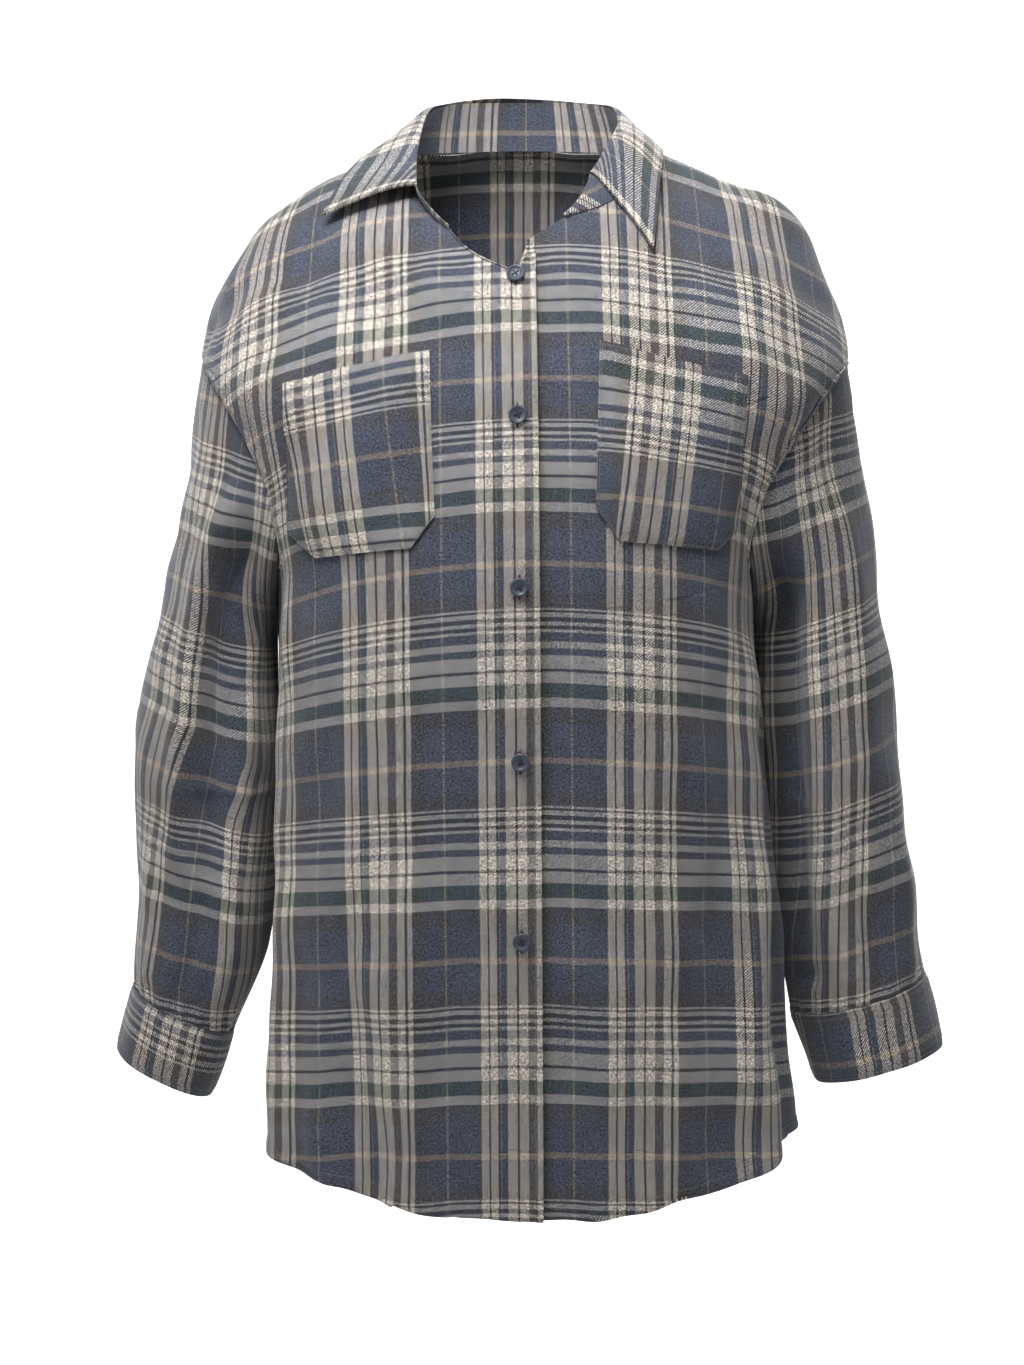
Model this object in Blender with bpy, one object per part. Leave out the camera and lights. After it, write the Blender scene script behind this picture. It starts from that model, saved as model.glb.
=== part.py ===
"""Flannel shirt, worn open at the neck, as hollow cloth with no wearer inside.

Metres, +Z up, the front faces -Y. The origin is midway between the two neck points of the
shoulders, where the wearer carries the shirt. Right and left are the wearer's: right is -X.

The torso is a stack of rings. A place on it is (a, t): a runs round each ring, 0 at centre
front, 1 at the side or shoulder line and 2 at centre back, negative on the right half, and
t runs down from the neck seam to the hem. Each sleeve is a stack of rings from its armhole.
"""

import math

import bmesh
import bpy
import numpy as np

WALL = 0.0016            # flannel with its seam turnings
FIRM_WALL = 0.0024       # cuffs, doubled and interlined
COLLAR_WALL = 0.0012     # the collar's stand and leaf
PATCH_WALL = 0.0012      # pockets
GAP = 0.0003             # between two pieces, so that none share a face
ARMHOLE_GAP = 0.0006     # wider, since the two walls meet at an angle there
STEP = 1e-4              # for slopes taken by differences
SEAM_A = 0.0012          # in a: each panel stops this far short of its shoulder and side seam
RIDGE_REACH = 0.02       # in a: normals average over this, so both sides of a seam share one

# Torso rings. side is the shoulder line, then the side seam, which lies at right_x on the
# wearer's right and at left_x on the left. power squares the ring's corners, and fall is how
# the height goes from the side to the middle: 1 evenly, 2 staying high near the side.
# Columns: t, right_x, left_x, side_z, front_y, front_z, back_y, back_z, power, fall.
TORSO = (
    (0.000, 0.086, 0.086, 0.008, -0.100, -0.076, 0.072, 0.022, 2.3, 1.05),     # neck seam
    (0.040, 0.126, 0.126, -0.002, -0.112, -0.098, 0.092, 0.000, 2.2, 1.10),
    (0.090, 0.172, 0.174, -0.019, -0.122, -0.124, 0.105, -0.040, 2.2, 1.20),
    (0.135, 0.203, 0.205, -0.043, -0.130, -0.148, 0.113, -0.078, 2.3, 1.35),
    (0.180, 0.224, 0.226, -0.082, -0.138, -0.172, 0.118, -0.118, 2.4, 1.60),
    (0.245, 0.245, 0.243, -0.143, -0.144, -0.206, 0.122, -0.172, 2.5, 1.90),   # top of the armhole
    (0.300, 0.224, 0.214, -0.192, -0.149, -0.240, 0.125, -0.215, 2.6, 2.00),
    (0.350, 0.198, 0.182, -0.240, -0.152, -0.278, 0.126, -0.262, 2.9, 2.00),
    (0.410, 0.187, 0.168, -0.300, -0.153, -0.330, 0.126, -0.318, 2.9, 2.00),   # underarm
    (0.530, 0.188, 0.177, -0.420, -0.149, -0.435, 0.124, -0.428, 2.8, 2.00),
    (0.660, 0.190, 0.187, -0.550, -0.143, -0.560, 0.124, -0.556, 2.7, 2.00),
    (0.780, 0.194, 0.196, -0.662, -0.137, -0.676, 0.126, -0.676, 2.6, 2.00),
    (0.850, 0.197, 0.202, -0.728, -0.132, -0.770, 0.128, -0.772, 2.6, 2.00),   # hem
)
NECK, HEM = TORSO[0][0], TORSO[-1][0]
TIP, UNDERARM = 0.245, 0.410
LEFT_LAPEL_BACK, LEFT_LAPEL_UP, LAPEL_FADE = 0.012, 0.026, 0.060   # the left neck corner stands higher

# How far each armhole bites into the front and the back, as a share of a quarter ring.
FRONT_BITE, BACK_BITE = 0.37, 0.32
TIP_SQUARE, UNDERARM_SQUARE = 0.22, 0.42     # smaller is squarer, at the armhole's two ends

# Folds: ridges (+) and troughs (-) of the torso, from (a, t) at the top to (a, t) at the bottom.
# Columns: a_top, t_top, a_end, t_end, half_width, height.
FOLDS = (
    (-0.62, 0.42, -0.66, 0.88, 0.026, 0.007),
    (-0.42, 0.60, -0.40, 0.90, 0.018, -0.008),
    (-0.30, 0.56, -0.24, 0.90, 0.024, 0.005),
    (-0.86, 0.40, -0.84, 0.90, 0.020, -0.006),
    (0.66, 0.36, 0.60, 0.88, 0.024, 0.007),
    (0.80, 0.44, 0.78, 0.90, 0.018, -0.007),
    (0.36, 0.60, 0.40, 0.90, 0.026, 0.005),
    (1.30, 0.34, 1.26, 0.90, 0.026, 0.008),
    (1.46, 0.42, 1.44, 0.90, 0.020, -0.008),
    (1.66, 0.30, 1.62, 0.90, 0.030, 0.007),
    (-1.28, 0.36, -1.32, 0.90, 0.026, 0.008),
    (-1.50, 0.40, -1.46, 0.90, 0.022, -0.008),
    (-1.74, 0.34, -1.68, 0.90, 0.030, 0.006),
    (1.92, 0.30, 1.90, 0.90, 0.022, -0.005),
)

CLOTH_PER_A = 0.25       # metres of cloth to one unit of a, for the folds' widths
FOLD_RISE = 1.6          # a fold reaches its height at 1 / this of its run

# Front edges. The right front laps over the left and both fall open above the top button.
LAP_X = ((0.000, 0.006), (0.850, 0.012))      # t, x of the right front's edge
BUTTON_IN, UNDERLAP = 0.0145, 0.034         # buttons lie this far in from the edge
V_BOTTOM = 0.028                               # t where the neck opening starts
RIGHT_END, LEFT_END = -0.42, 0.20              # a where each front meets the collar stand
OPENING_CURVE = 0.9                            # under 1 bows the opening outwards
LAP_STEP = WALL + 2 * GAP                      # how far the left front passes under the right
LAP_EASE = 0.045

# Sleeve rings below the armhole: outer and inner line in x and z, and half the depth in y.
# Columns: out_x, out_z, in_x, in_z, half_depth, power.
SLEEVES = {
    "right": (
        (0.265, -0.270, 0.195, -0.360, 0.082, 2.1),
        (0.289, -0.370, 0.193, -0.440, 0.080, 2.2),
        (0.301, -0.465, 0.194, -0.525, 0.074, 2.2),
        (0.300, -0.550, 0.199, -0.592, 0.064, 2.2),
        (0.304, -0.622, 0.226, -0.658, 0.052, 2.2),
    ),
    "left": (
        (0.262, -0.262, 0.177, -0.352, 0.082, 2.1),
        (0.276, -0.362, 0.180, -0.430, 0.080, 2.2),
        (0.287, -0.460, 0.187, -0.515, 0.074, 2.2),
        (0.298, -0.545, 0.195, -0.586, 0.064, 2.2),
        (0.309, -0.614, 0.206, -0.645, 0.054, 2.2),
    ),
}
CUFF_ENDS = {
    "right": (0.318, -0.671, 0.244, -0.709, 0.050, 2.2),
    "left": (0.3226, -0.6685, 0.2225, -0.6985, 0.051, 2.2),
}
SLEEVE_BACK = 0.012        # the sleeves hang this far behind the side seams
CUFF_PROUD, CUFF_SEAM = 0.0008, 0.0010
FOLD_FROM, FOLD_TO = 60, 130        # degrees round the armhole from its top
UNDERARM_STAND_OFF = 0.0008

# Collar stations from the right end round the back to the left end: the roll line, where the
# leaf folds over the stand, and the leaf's free edge. The two leaves lie differently.
# Columns: a, roll_x, roll_y, roll_z, edge_x, edge_y, edge_z.
COLLAR = (
    (-0.66, -0.0810, -0.060, -0.0240, -0.1500, -0.057, -0.0420),     # right tip
    (-0.80, -0.0820, -0.035, -0.0020, -0.1345, -0.027, -0.0100),
    (-1.00, -0.0800, -0.005, 0.0220, -0.1220, 0.004, 0.0080),
    (-1.30, -0.0740, 0.035, 0.0450, -0.1040, 0.054, 0.0180),
    (-1.60, -0.0490, 0.066, 0.0570, -0.0690, 0.090, 0.0130),
    (-2.00, 0.0000, 0.079, 0.0600, 0.0000, 0.104, 0.0120),           # centre back
    (-2.40, 0.0450, 0.066, 0.0570, 0.0650, 0.090, 0.0130),
    (-2.70, 0.0680, 0.035, 0.0460, 0.0980, 0.054, 0.0190),
    (-3.00, 0.0700, 0.000, 0.0300, 0.1020, 0.000, 0.0100),
    (-3.22, 0.0600, -0.032, 0.0080, 0.0970, -0.053, -0.0220),
    (-3.42, 0.0465, -0.055, -0.0144, 0.0910, -0.095, -0.0710),       # left tip
)
STAND_END_SHARE = 0.16     # of the stand's height, left at its ends
STAND_TAPER = 0.24          # in a
LEAF_CLEAR = 0.0022        # between the stand's top and the leaf's, along Z
LEAF_IN = 0.0010           # the leaf starts this far inside the stand's outer face
ROLL, ROLL_HIGH = 0.0045, 0.0072      # how far the leaf rolls out and up past the stand's top

# Patch pockets: the upper corner nearest the middle, as x and z, and how the top and the two
# sides run from there. Their grain droops outwards with the drape of the chest.
# Columns: x, z, width, height, droop, side_lean.
POCKETS = {
    "right": (-0.0690, -0.146, 0.102, 0.139, 0.0240, 0.005),
    "left": (0.0510, -0.141, 0.104, 0.139, 0.0240, -0.004),
}
POCKET_LIFT = 0.0010
POCKET_SAG, POCKET_SHORTER = 1.2, 0.1        # the droop's power, and how much shorter the outer side is
POCKET_BEVEL_WIDE, POCKET_BEVEL_HIGH = 0.17, 0.16      # shares of the width and height

BUTTON_RADIUS, BUTTON_THICK = 0.0065, 0.0028
BUTTON_Z = (-0.0920, -0.193, -0.313, -0.436, -0.564)     # heights down the right front

COLOURS = {
    "flannel": ((0.16, 0.17, 0.20), 0.95),
    "pocket": ((0.22, 0.22, 0.23), 0.95),
    "collar": ((0.20, 0.20, 0.22), 0.95),
    "button": ((0.07, 0.08, 0.11), 0.45),
}


# ---- smooth tables ----

def smooth(knots, values, at):
    """A monotone cubic through (knots, values). values may have several columns."""
    knots, values = np.asarray(knots, float), np.asarray(values, float)
    flat = values.reshape(len(knots), -1)
    width = np.diff(knots)[:, None]
    slope = np.diff(flat, axis=0) / width
    lean = np.zeros_like(flat)
    lean[0], lean[-1] = slope[0], slope[-1]
    before, after = slope[:-1], slope[1:]
    same = before * after > 0
    safe = np.where(same, before + after, 1.0)
    lean[1:-1] = np.where(same, 2 * before * after / np.where(safe == 0, 1.0, safe), 0.0)
    at = np.clip(np.asarray(at, float), knots[0], knots[-1])
    i = np.clip(np.searchsorted(knots, at, side="right") - 1, 0, len(knots) - 2)
    h = width[i]
    s = (at - knots[i])[..., None] / h
    made = (
        (1 + 2 * s) * (1 - s) ** 2 * flat[i]
        + s * (1 - s) ** 2 * h * lean[i]
        + s * s * (3 - 2 * s) * flat[i + 1]
        + s * s * (s - 1) * h * lean[i + 1]
    )
    return made.reshape(at.shape + values.shape[1:])


def ease(x):
    """0 to 1, flat at both ends."""
    x = np.clip(x, 0.0, 1.0)
    return x * x * (3 - 2 * x)


def unit(v):
    return v / np.maximum(np.linalg.norm(v, axis=-1, keepdims=True), 1e-12)


# ---- the torso ----

TORSO_TABLE = np.array(TORSO)


def torso_base(a, t):
    """Points of the torso's outer face with no folds."""
    a, t = np.broadcast_arrays(np.asarray(a, float), np.asarray(t, float))
    right_x, left_x, side_z, front_y, front_z, back_y, back_z, power, fall = np.moveaxis(
        smooth(TORSO_TABLE[:, 0], TORSO_TABLE[:, 1:], t), -1, 0
    )
    turn = np.abs((a + 2) % 4 - 2)
    right = np.where((a + 2) % 4 - 2 < 0, -1.0, 1.0)     # -1 on the wearer's right
    front = turn <= 1
    fade = ease(1 - t / LAPEL_FADE) * (right > 0) * front
    end_y = np.where(front, front_y + LEFT_LAPEL_BACK * fade, back_y)
    end_z = np.where(front, front_z + LEFT_LAPEL_UP * fade, back_z)
    angle = np.pi / 2 * np.where(front, turn, 2 - turn)
    sine, cosine = np.sin(angle), np.cos(angle)
    corner = (sine**power + np.maximum(cosine, 0) ** power) ** (-1 / power)
    x = np.where(right < 0, -right_x, left_x) * sine * corner
    y = end_y * cosine * corner
    z = side_z + (end_z - side_z) * np.maximum(cosine, 0) ** fall
    return np.stack([x, y, z], -1)


def slopes_normal(surface, p, q):
    """Unit outward normal of surface(p, q) by differences."""
    along = surface(p + RIDGE_REACH, q) - surface(p - RIDGE_REACH, q)
    down = surface(p, q + STEP) - surface(p, q - STEP)
    return unit(np.cross(down, along))


def fold_height(a, t):
    """How far the folds move the torso out at (a, t)."""
    total = np.zeros(np.broadcast(a, t).shape)
    for a_top, t_top, a_end, t_end, half_width, height in FOLDS:
        down = np.clip((t - t_top) / (t_end - t_top), 0, 1)
        line = a_top + (a_end - a_top) * down
        across = ((a - line + 2) % 4 - 2) * CLOTH_PER_A / half_width
        total = total + height * ease(down * FOLD_RISE) * np.exp(-across * across)
    return total


def torso(a, t):
    """Points of the torso's outer face."""
    a, t = np.broadcast_arrays(np.asarray(a, float), np.asarray(t, float))
    lift = fold_height(a, t)
    return torso_base(a, t) + lift[..., None] * slopes_normal(torso_base, a, t)


def torso_normal(a, t):
    return slopes_normal(torso, np.asarray(a, float), np.asarray(t, float))


def a_at_x(x, t):
    """a on the front half where the ring at t passes x."""
    low, high = np.full(np.shape(t), -0.5), np.full(np.shape(t), 0.5)
    for _ in range(40):
        middle = (low + high) / 2
        short = torso_base(middle, t)[..., 0] < x
        low, high = np.where(short, middle, low), np.where(short, high, middle)
    return (low + high) / 2


def bite_share(sine, t):
    """How much of its full bite an armhole has at t, where sine is 0 at its ends and 1 midway."""
    down = np.clip((t - TIP) / (UNDERARM - TIP), 0, 1)
    return sine ** (TIP_SQUARE + (UNDERARM_SQUARE - TIP_SQUARE) * down)


def armhole(angle, side):
    """(a, t) of the armhole at an angle: 0 at its top, 90 at the front, 180 under the arm."""
    radians = np.radians(angle)
    t = TIP + (UNDERARM - TIP) * (1 - np.cos(radians)) / 2
    bite = np.where(np.sin(radians) >= 0, FRONT_BITE, -BACK_BITE)
    a = 1 - bite * bite_share(np.abs(np.sin(radians)), t)
    return (a if side == "left" else -a), t


def panel_rows(above=8, beside=10, below=8):
    """t for each row of a panel, with the armhole's rows where its own points lie."""
    top = np.linspace(0, 1, above + 1)
    hole = TIP + (UNDERARM - TIP) * (1 - np.cos(np.linspace(0, np.pi, beside + 1))) / 2
    low = np.linspace(UNDERARM, HEM, below + 1)
    high = NECK + GAP + (TIP - NECK - GAP) * top[:-1]
    opening = V_BOTTOM * np.array([0.25, 0.5, 0.75, 1.0])
    return np.sort(np.concatenate([high, opening, hole[:-1], low]))


def outer_a(t, bite):
    """a of a panel's outer edge at t: the shoulder or side line, or the armhole."""
    inside = (t > TIP) & (t < UNDERARM)
    sine = np.sqrt(np.clip(1 - (1 - 2 * (t - TIP) / (UNDERARM - TIP)) ** 2, 0, 1))
    return 1 - np.where(inside, bite * bite_share(sine, t), 0.0)


# ---- solids ----

def new_object(name, bm, colour):
    """Links a bmesh as an object with its own material."""
    bmesh.ops.triangulate(bm, faces=bm.faces[:], quad_method="SHORT_EDGE")
    bmesh.ops.recalc_face_normals(bm, faces=bm.faces[:])
    mesh = bpy.data.meshes.new(name)
    bm.to_mesh(mesh)
    bm.free()
    material = bpy.data.materials.new(name)
    material.use_nodes = True
    shader = material.node_tree.nodes["Principled BSDF"]
    rgb, rough = COLOURS[colour]
    shader.inputs["Base Color"].default_value = (*rgb, 1)
    shader.inputs["Roughness"].default_value = rough
    shader.inputs["Metallic"].default_value = 0.0
    mesh.materials.append(material)
    mesh.shade_smooth()
    made = bpy.data.objects.new(name, mesh)
    bpy.context.collection.objects.link(made)
    return made


def shell(name, outer, inner, colour, closed=False):
    """A wall between two grids of points. closed joins the last column to the first."""
    rows, columns = outer.shape[:2]
    bm = bmesh.new()
    grids = [
        [[bm.verts.new(grid[i, j]) for j in range(columns)] for i in range(rows)]
        for grid in (outer, inner)
    ]
    spans = range(columns if closed else columns - 1)
    for grid, flip in zip(grids, (False, True)):
        for i in range(rows - 1):
            for j in spans:
                k = (j + 1) % columns
                face = [grid[i][j], grid[i + 1][j], grid[i + 1][k], grid[i][k]]
                bm.faces.new(face[::-1] if flip else face)
    rims = [(i, i, j, (j + 1) % columns) for i in (0, rows - 1) for j in spans]
    if not closed:
        rims += [(i, i + 1, j, j) for j in (0, columns - 1) for i in range(rows - 1)]
    face, back = grids
    for i, m, j, k in rims:
        bm.faces.new([face[i][j], face[m][k], back[m][k], back[i][j]])
    return new_object(name, bm, colour)


def torso_shell(name, a, t, colour, out=0.0, wall=WALL, sink=None):
    """A wall that lies on the torso: its outer face out from the torso's, less sink."""
    points, normal = torso(a, t), torso_normal(a, t)
    level = out - (0 if sink is None else sink)
    level = np.broadcast_to(level, a.shape)[..., None]
    return shell(name, points + level * normal, points + (level - wall) * normal, colour)


# ---- the pieces ----

def edge_x(t):
    knots, values = zip(*LAP_X)
    return np.interp(t, knots, values)


def front_edge(t, side):
    """a of each front's free edge, which swings aside above the top button."""
    lap = a_at_x(edge_x(t) - (UNDERLAP if side == "left" else 0), t)
    end = LEFT_END if side == "left" else RIGHT_END
    open_share = 1 - np.clip(t / V_BOTTOM, 0, 1)
    return lap + (end - lap) * open_share**OPENING_CURVE


def lap_sink(a, t):
    """The left front dips under the right front where they lap."""
    x = torso_base(a, t)[..., 0]
    return LAP_STEP * ease(1 - (x - edge_x(t)) / LAP_EASE)


def front(side, columns=13):
    t = panel_rows()
    sign = 1 if side == "left" else -1
    share = np.linspace(0, 1, columns + 1)[None, :]
    inner = front_edge(t, side)[:, None]
    outer = sign * (outer_a(t, FRONT_BITE) - SEAM_A)[:, None]
    a = inner + (outer - inner) * share
    t = np.broadcast_to(t[:, None], a.shape)
    sink = lap_sink(a, t) if side == "left" else None
    return torso_shell("front_" + side, a, t, "flannel", sink=sink)


def back(columns=18):
    t = panel_rows()
    reach = 1 + (1 - outer_a(t, BACK_BITE)) + SEAM_A
    share = np.linspace(-1, 1, columns + 1)[None, :]
    a = 2 + share * (2 - reach[:, None])
    return torso_shell("back", a, np.broadcast_to(t[:, None], a.shape), "flannel")


def place_on_front(x, z):
    """(a, t) where the front's plain surface passes x and z, by Newton's method."""
    t = np.interp(-z, -TORSO_TABLE[:, 5], TORSO_TABLE[:, 0])
    a = np.clip(x / 0.2, -0.8, 0.8)
    for _ in range(12):
        here = torso_base(a, t)
        by_a = (torso_base(a + STEP, t) - here) / STEP
        by_t = (torso_base(a, t + STEP) - here) / STEP
        miss_x, miss_z = x - here[..., 0], z - here[..., 2]
        scale = by_a[..., 0] * by_t[..., 2] - by_a[..., 2] * by_t[..., 0]
        a = a + np.clip((miss_x * by_t[..., 2] - miss_z * by_t[..., 0]) / scale, -0.1, 0.1)
        t = t + np.clip((miss_z * by_a[..., 0] - miss_x * by_a[..., 2]) / scale, -0.05, 0.05)
    return a, t


def pocket(side, count=7):
    """A patch pocket with its two lower corners cut off."""
    x, z, width, height, droop, side_lean = POCKETS[side]
    away = 1 if side == "left" else -1
    across, down = np.meshgrid(np.linspace(0, 1, count + 1), np.linspace(0, 1, count + 1))
    near_corner = np.clip(1 - np.minimum(across, 1 - across) / POCKET_BEVEL_WIDE, 0, 1)
    down = down * (1 - POCKET_BEVEL_HIGH * near_corner)
    a, t = place_on_front(
        x + away * width * across + side_lean * down,
        z - droop * across**POCKET_SAG - height * down * (1 - POCKET_SHORTER * across),
    )
    return torso_shell("pocket_" + side, a, t, "pocket", out=POCKET_LIFT + PATCH_WALL, wall=PATCH_WALL)


# ---- sleeves ----

def ring_points(row, angle, sign):
    """Points of one sleeve ring at angles: 0 outer, 90 front, 180 inner, 270 back."""
    out_x, out_z, in_x, in_z, half_depth, power = row
    sine, cosine = np.sin(np.radians(angle)), np.cos(np.radians(angle))
    corner = (np.abs(sine) ** power + np.abs(cosine) ** power) ** (-1 / power)
    x = (out_x + in_x) / 2 + (out_x - in_x) / 2 * cosine * corner
    y = SLEEVE_BACK - half_depth * sine * corner
    z = (out_z + in_z) / 2 + (out_z - in_z) / 2 * cosine * corner
    return np.stack([sign * x, y, z], -1)


def armhole_ring(side, angle):
    """The sleeve's first ring and the way its wall faces there.

    Over the shoulder the sleeve goes on from the torso. Under the arm the cloth folds back on
    itself, so the sleeve's wall turns to face down, and stands off the torso.
    """
    a, t = armhole(angle, side)
    points, normal = torso(a, t), torso_normal(a, t)
    inward = points.mean(axis=0) - points
    inward = unit(inward - (inward * normal).sum(-1, keepdims=True) * normal)
    down_round = np.abs((angle + 180) % 360 - 180)
    fold = np.radians(90 * ease((down_round - FOLD_FROM) / (FOLD_TO - FOLD_FROM)))[:, None]
    facing = unit(normal * np.cos(fold) - inward * np.sin(fold))
    return points + ARMHOLE_GAP * inward + UNDERARM_STAND_OFF * np.sin(fold) * normal, facing


def sleeve_grid(side, angle, share):
    """Outer points of a sleeve: share 0 at the armhole and 1 at the cuff seam."""
    sign = 1 if side == "left" else -1
    rings = [armhole_ring(side, angle)[0]]
    rings += [ring_points(row, angle, sign) for row in SLEEVES[side]]
    knots = np.linspace(0, 1, len(rings))
    return smooth(knots, np.stack(rings), share)


def grid_normals(points, sign):
    """Outward normals of a closed tube's grid."""
    round_it = np.roll(points, -1, axis=1) - np.roll(points, 1, axis=1)
    down = np.gradient(points, axis=0)
    return unit(np.cross(round_it, down)) * sign


def sleeve(side, rows=12, columns=20):
    sign = 1 if side == "left" else -1
    angle = np.arange(columns) * 360 / columns
    points = sleeve_grid(side, angle, np.linspace(0, 1, rows + 1))
    normal = grid_normals(points, sign)
    seam = armhole_ring(side, angle)[1]
    blend = np.clip(np.arange(rows + 1) / 3, 0, 1)[:, None, None]
    normal = unit(seam * (1 - blend) + normal * blend)
    return shell("sleeve_" + side, points, points - WALL * normal, "flannel", closed=True)


def cuff_grid(side, angle, share):
    """Outer points of a cuff, from its seam to its end."""
    sign = 1 if side == "left" else -1
    top = ring_points(SLEEVES[side][-1], angle, sign)
    end = ring_points(CUFF_ENDS[side], angle, sign)
    length = np.linalg.norm(end - top, axis=-1, keepdims=True)
    start = CUFF_SEAM / length
    return top + (end - top) * (start + (1 - start) * share[:, None, None])


def cuff(side, columns=20):
    sign = 1 if side == "left" else -1
    angle = np.arange(columns) * 360 / columns
    points = cuff_grid(side, angle, np.linspace(0, 1, 3))
    normal = grid_normals(points, sign)
    outer = points + CUFF_PROUD * normal
    return shell("cuff_" + side, outer, outer - FIRM_WALL * normal, "flannel", closed=True)


# ---- collar ----

def neck_frame(a):
    """Neck seam points with their level outward direction."""
    points = torso(a, np.full(np.shape(a), NECK))
    ahead = torso_base(a + 1e-3, NECK) - torso_base(a - 1e-3, NECK)
    out = np.stack([-ahead[..., 1], ahead[..., 0], np.zeros(np.shape(a))], -1)
    out = unit(out)
    return points, np.where((out[..., :1] * points[..., :1] + out[..., 1:2] * points[..., 1:2]) < 0, -out, out)


COLLAR_TABLE = np.array(COLLAR)


def collar_line(a):
    """Roll line and leaf edge for each a from right to left."""
    rows = smooth(-COLLAR_TABLE[:, 0], COLLAR_TABLE[:, 1:], -a)
    return rows[..., :3], rows[..., 3:]


def collar_stand(columns=40):
    first, last = COLLAR[0][0], COLLAR[-1][0]
    a = np.linspace(RIGHT_END, LEFT_END - 4, columns + 1)
    roll = collar_line(np.clip(a, last, first))[0]
    neck, out = neck_frame(a)
    rise = roll - neck_frame(np.clip(a, last, first))[0]
    past = np.maximum(np.maximum(a - first, last - a), 0)[:, None]
    rise = rise * (1 - (1 - STAND_END_SHARE) * ease(past / STAND_TAPER))
    up = np.array([0, 0, GAP + WALL / 2])
    share = np.linspace(0, 1, 3)[:, None, None]
    outer = neck + up + (rise - up) * share
    return shell("collar_stand", outer, outer - COLLAR_WALL * out[None], "collar")


def collar_leaf(columns=34, rows=5):
    a = np.linspace(COLLAR[0][0], COLLAR[-1][0], columns + 1)
    roll, edge = collar_line(a)
    out = neck_frame(a)[1]
    start = roll + np.array([0, 0, LEAF_CLEAR]) - LEAF_IN * out
    top = roll + out * ROLL + np.array([0, 0, ROLL_HIGH])
    share = np.linspace(0, 1, rows + 1)[:, None, None]
    outer = (1 - share) ** 2 * start + 2 * share * (1 - share) * top + share**2 * edge
    across = np.gradient(outer, axis=0)
    along = np.gradient(outer, axis=1)
    face = unit(np.cross(across, along))
    face = np.where(face[..., 2:] < 0, -face, face)
    return shell("collar_leaf", outer, outer - COLLAR_WALL * face, "collar")


# ---- buttons ----

def button(name, centre, normal, radius, sides=12):
    """A disc with a bevelled rim whose back lies the seam gap off the cloth."""
    up = np.array([0.0, 0.0, 1.0])
    east = unit(np.cross(up, normal))
    north = np.cross(normal, east)
    levels = ((0.0, 0.86), (0.35, 1.0), (0.8, 1.0), (1.0, 0.82))      # height and radius shares
    bm = bmesh.new()
    rings = []
    for height, share in levels:
        at = centre + normal * (GAP + height * BUTTON_THICK)
        turns = [2 * math.pi * k / sides for k in range(sides)]
        rings.append([
            bm.verts.new(at + radius * share * (math.cos(w) * east + math.sin(w) * north)) for w in turns
        ])
    for low, high in zip(rings, rings[1:]):
        for k in range(sides):
            m = (k + 1) % sides
            bm.faces.new([low[k], low[m], high[m], high[k]])
    bm.faces.new(rings[0][::-1])
    bm.faces.new(rings[-1])
    return new_object(name, bm, "button")


def buttons():
    for number, z in enumerate(BUTTON_Z, 1):
        t = np.interp([-z], -TORSO_TABLE[:, 5], TORSO_TABLE[:, 0])
        a = a_at_x(edge_x(t) - BUTTON_IN, t)
        point, normal = torso(a, t)[0], torso_normal(a, t)[0]
        button(f"button_{number}", point, normal, BUTTON_RADIUS)


def main():
    for old in list(bpy.data.objects):
        bpy.data.objects.remove(old)
    back()
    collar_stand()
    collar_leaf()
    buttons()
    for side in ("right", "left"):
        front(side)
        pocket(side)
        sleeve(side)
        cuff(side)


main()
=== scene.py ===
"""The flannel shirt's looks: yarn-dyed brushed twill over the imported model's form.

Metres, +Z up, the front faces -Y, and right and left are the wearer's: right is -X.

The torso is a stack of rings. A place on it is (a, t): a runs round each ring, 0 at centre
front, 1 at the side or shoulder line and 2 at centre back, negative on the right half, and
t runs down from the neck seam to the hem. The solids use the same rings at a coarser step.
Each piece also has its cut coordinates in metres, u along the weft and v down the warp,
which place the plaid on it.
"""

import math

import bmesh
import bpy
import numpy as np
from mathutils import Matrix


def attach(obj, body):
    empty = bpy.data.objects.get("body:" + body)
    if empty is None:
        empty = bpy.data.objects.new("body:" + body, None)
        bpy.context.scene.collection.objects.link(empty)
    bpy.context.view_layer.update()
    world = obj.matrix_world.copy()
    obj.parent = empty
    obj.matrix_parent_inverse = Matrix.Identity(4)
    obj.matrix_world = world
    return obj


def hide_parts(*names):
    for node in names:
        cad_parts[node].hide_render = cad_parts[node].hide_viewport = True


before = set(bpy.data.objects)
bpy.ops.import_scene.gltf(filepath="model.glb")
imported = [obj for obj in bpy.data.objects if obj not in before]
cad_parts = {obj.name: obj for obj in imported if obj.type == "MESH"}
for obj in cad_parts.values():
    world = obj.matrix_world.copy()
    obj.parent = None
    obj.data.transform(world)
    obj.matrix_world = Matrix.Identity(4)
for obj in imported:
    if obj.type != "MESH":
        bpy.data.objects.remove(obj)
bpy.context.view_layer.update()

CLOTH = 0.0011  # thickness of one layer
FIRM = 0.0019  # collar and cuffs
SIGN = {"right": -1, "left": 1}
WALL = 0.0016  # flannel with its seam turnings
GAP = 0.0003  # between two pieces, so that none share a face
ARMHOLE_GAP = 0.0006  # wider, since the two walls meet at an angle there
STEP = 1e-4  # for slopes taken by differences
NECK_STEP = 1e-3  # the same, round the neck seam, in a
SEAM_A = 0.0012  # in a: each panel stops this far short of its shoulder and side seam
RIDGE_REACH = 0.02  # in a: normals average over this, so both sides of a seam share one

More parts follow.
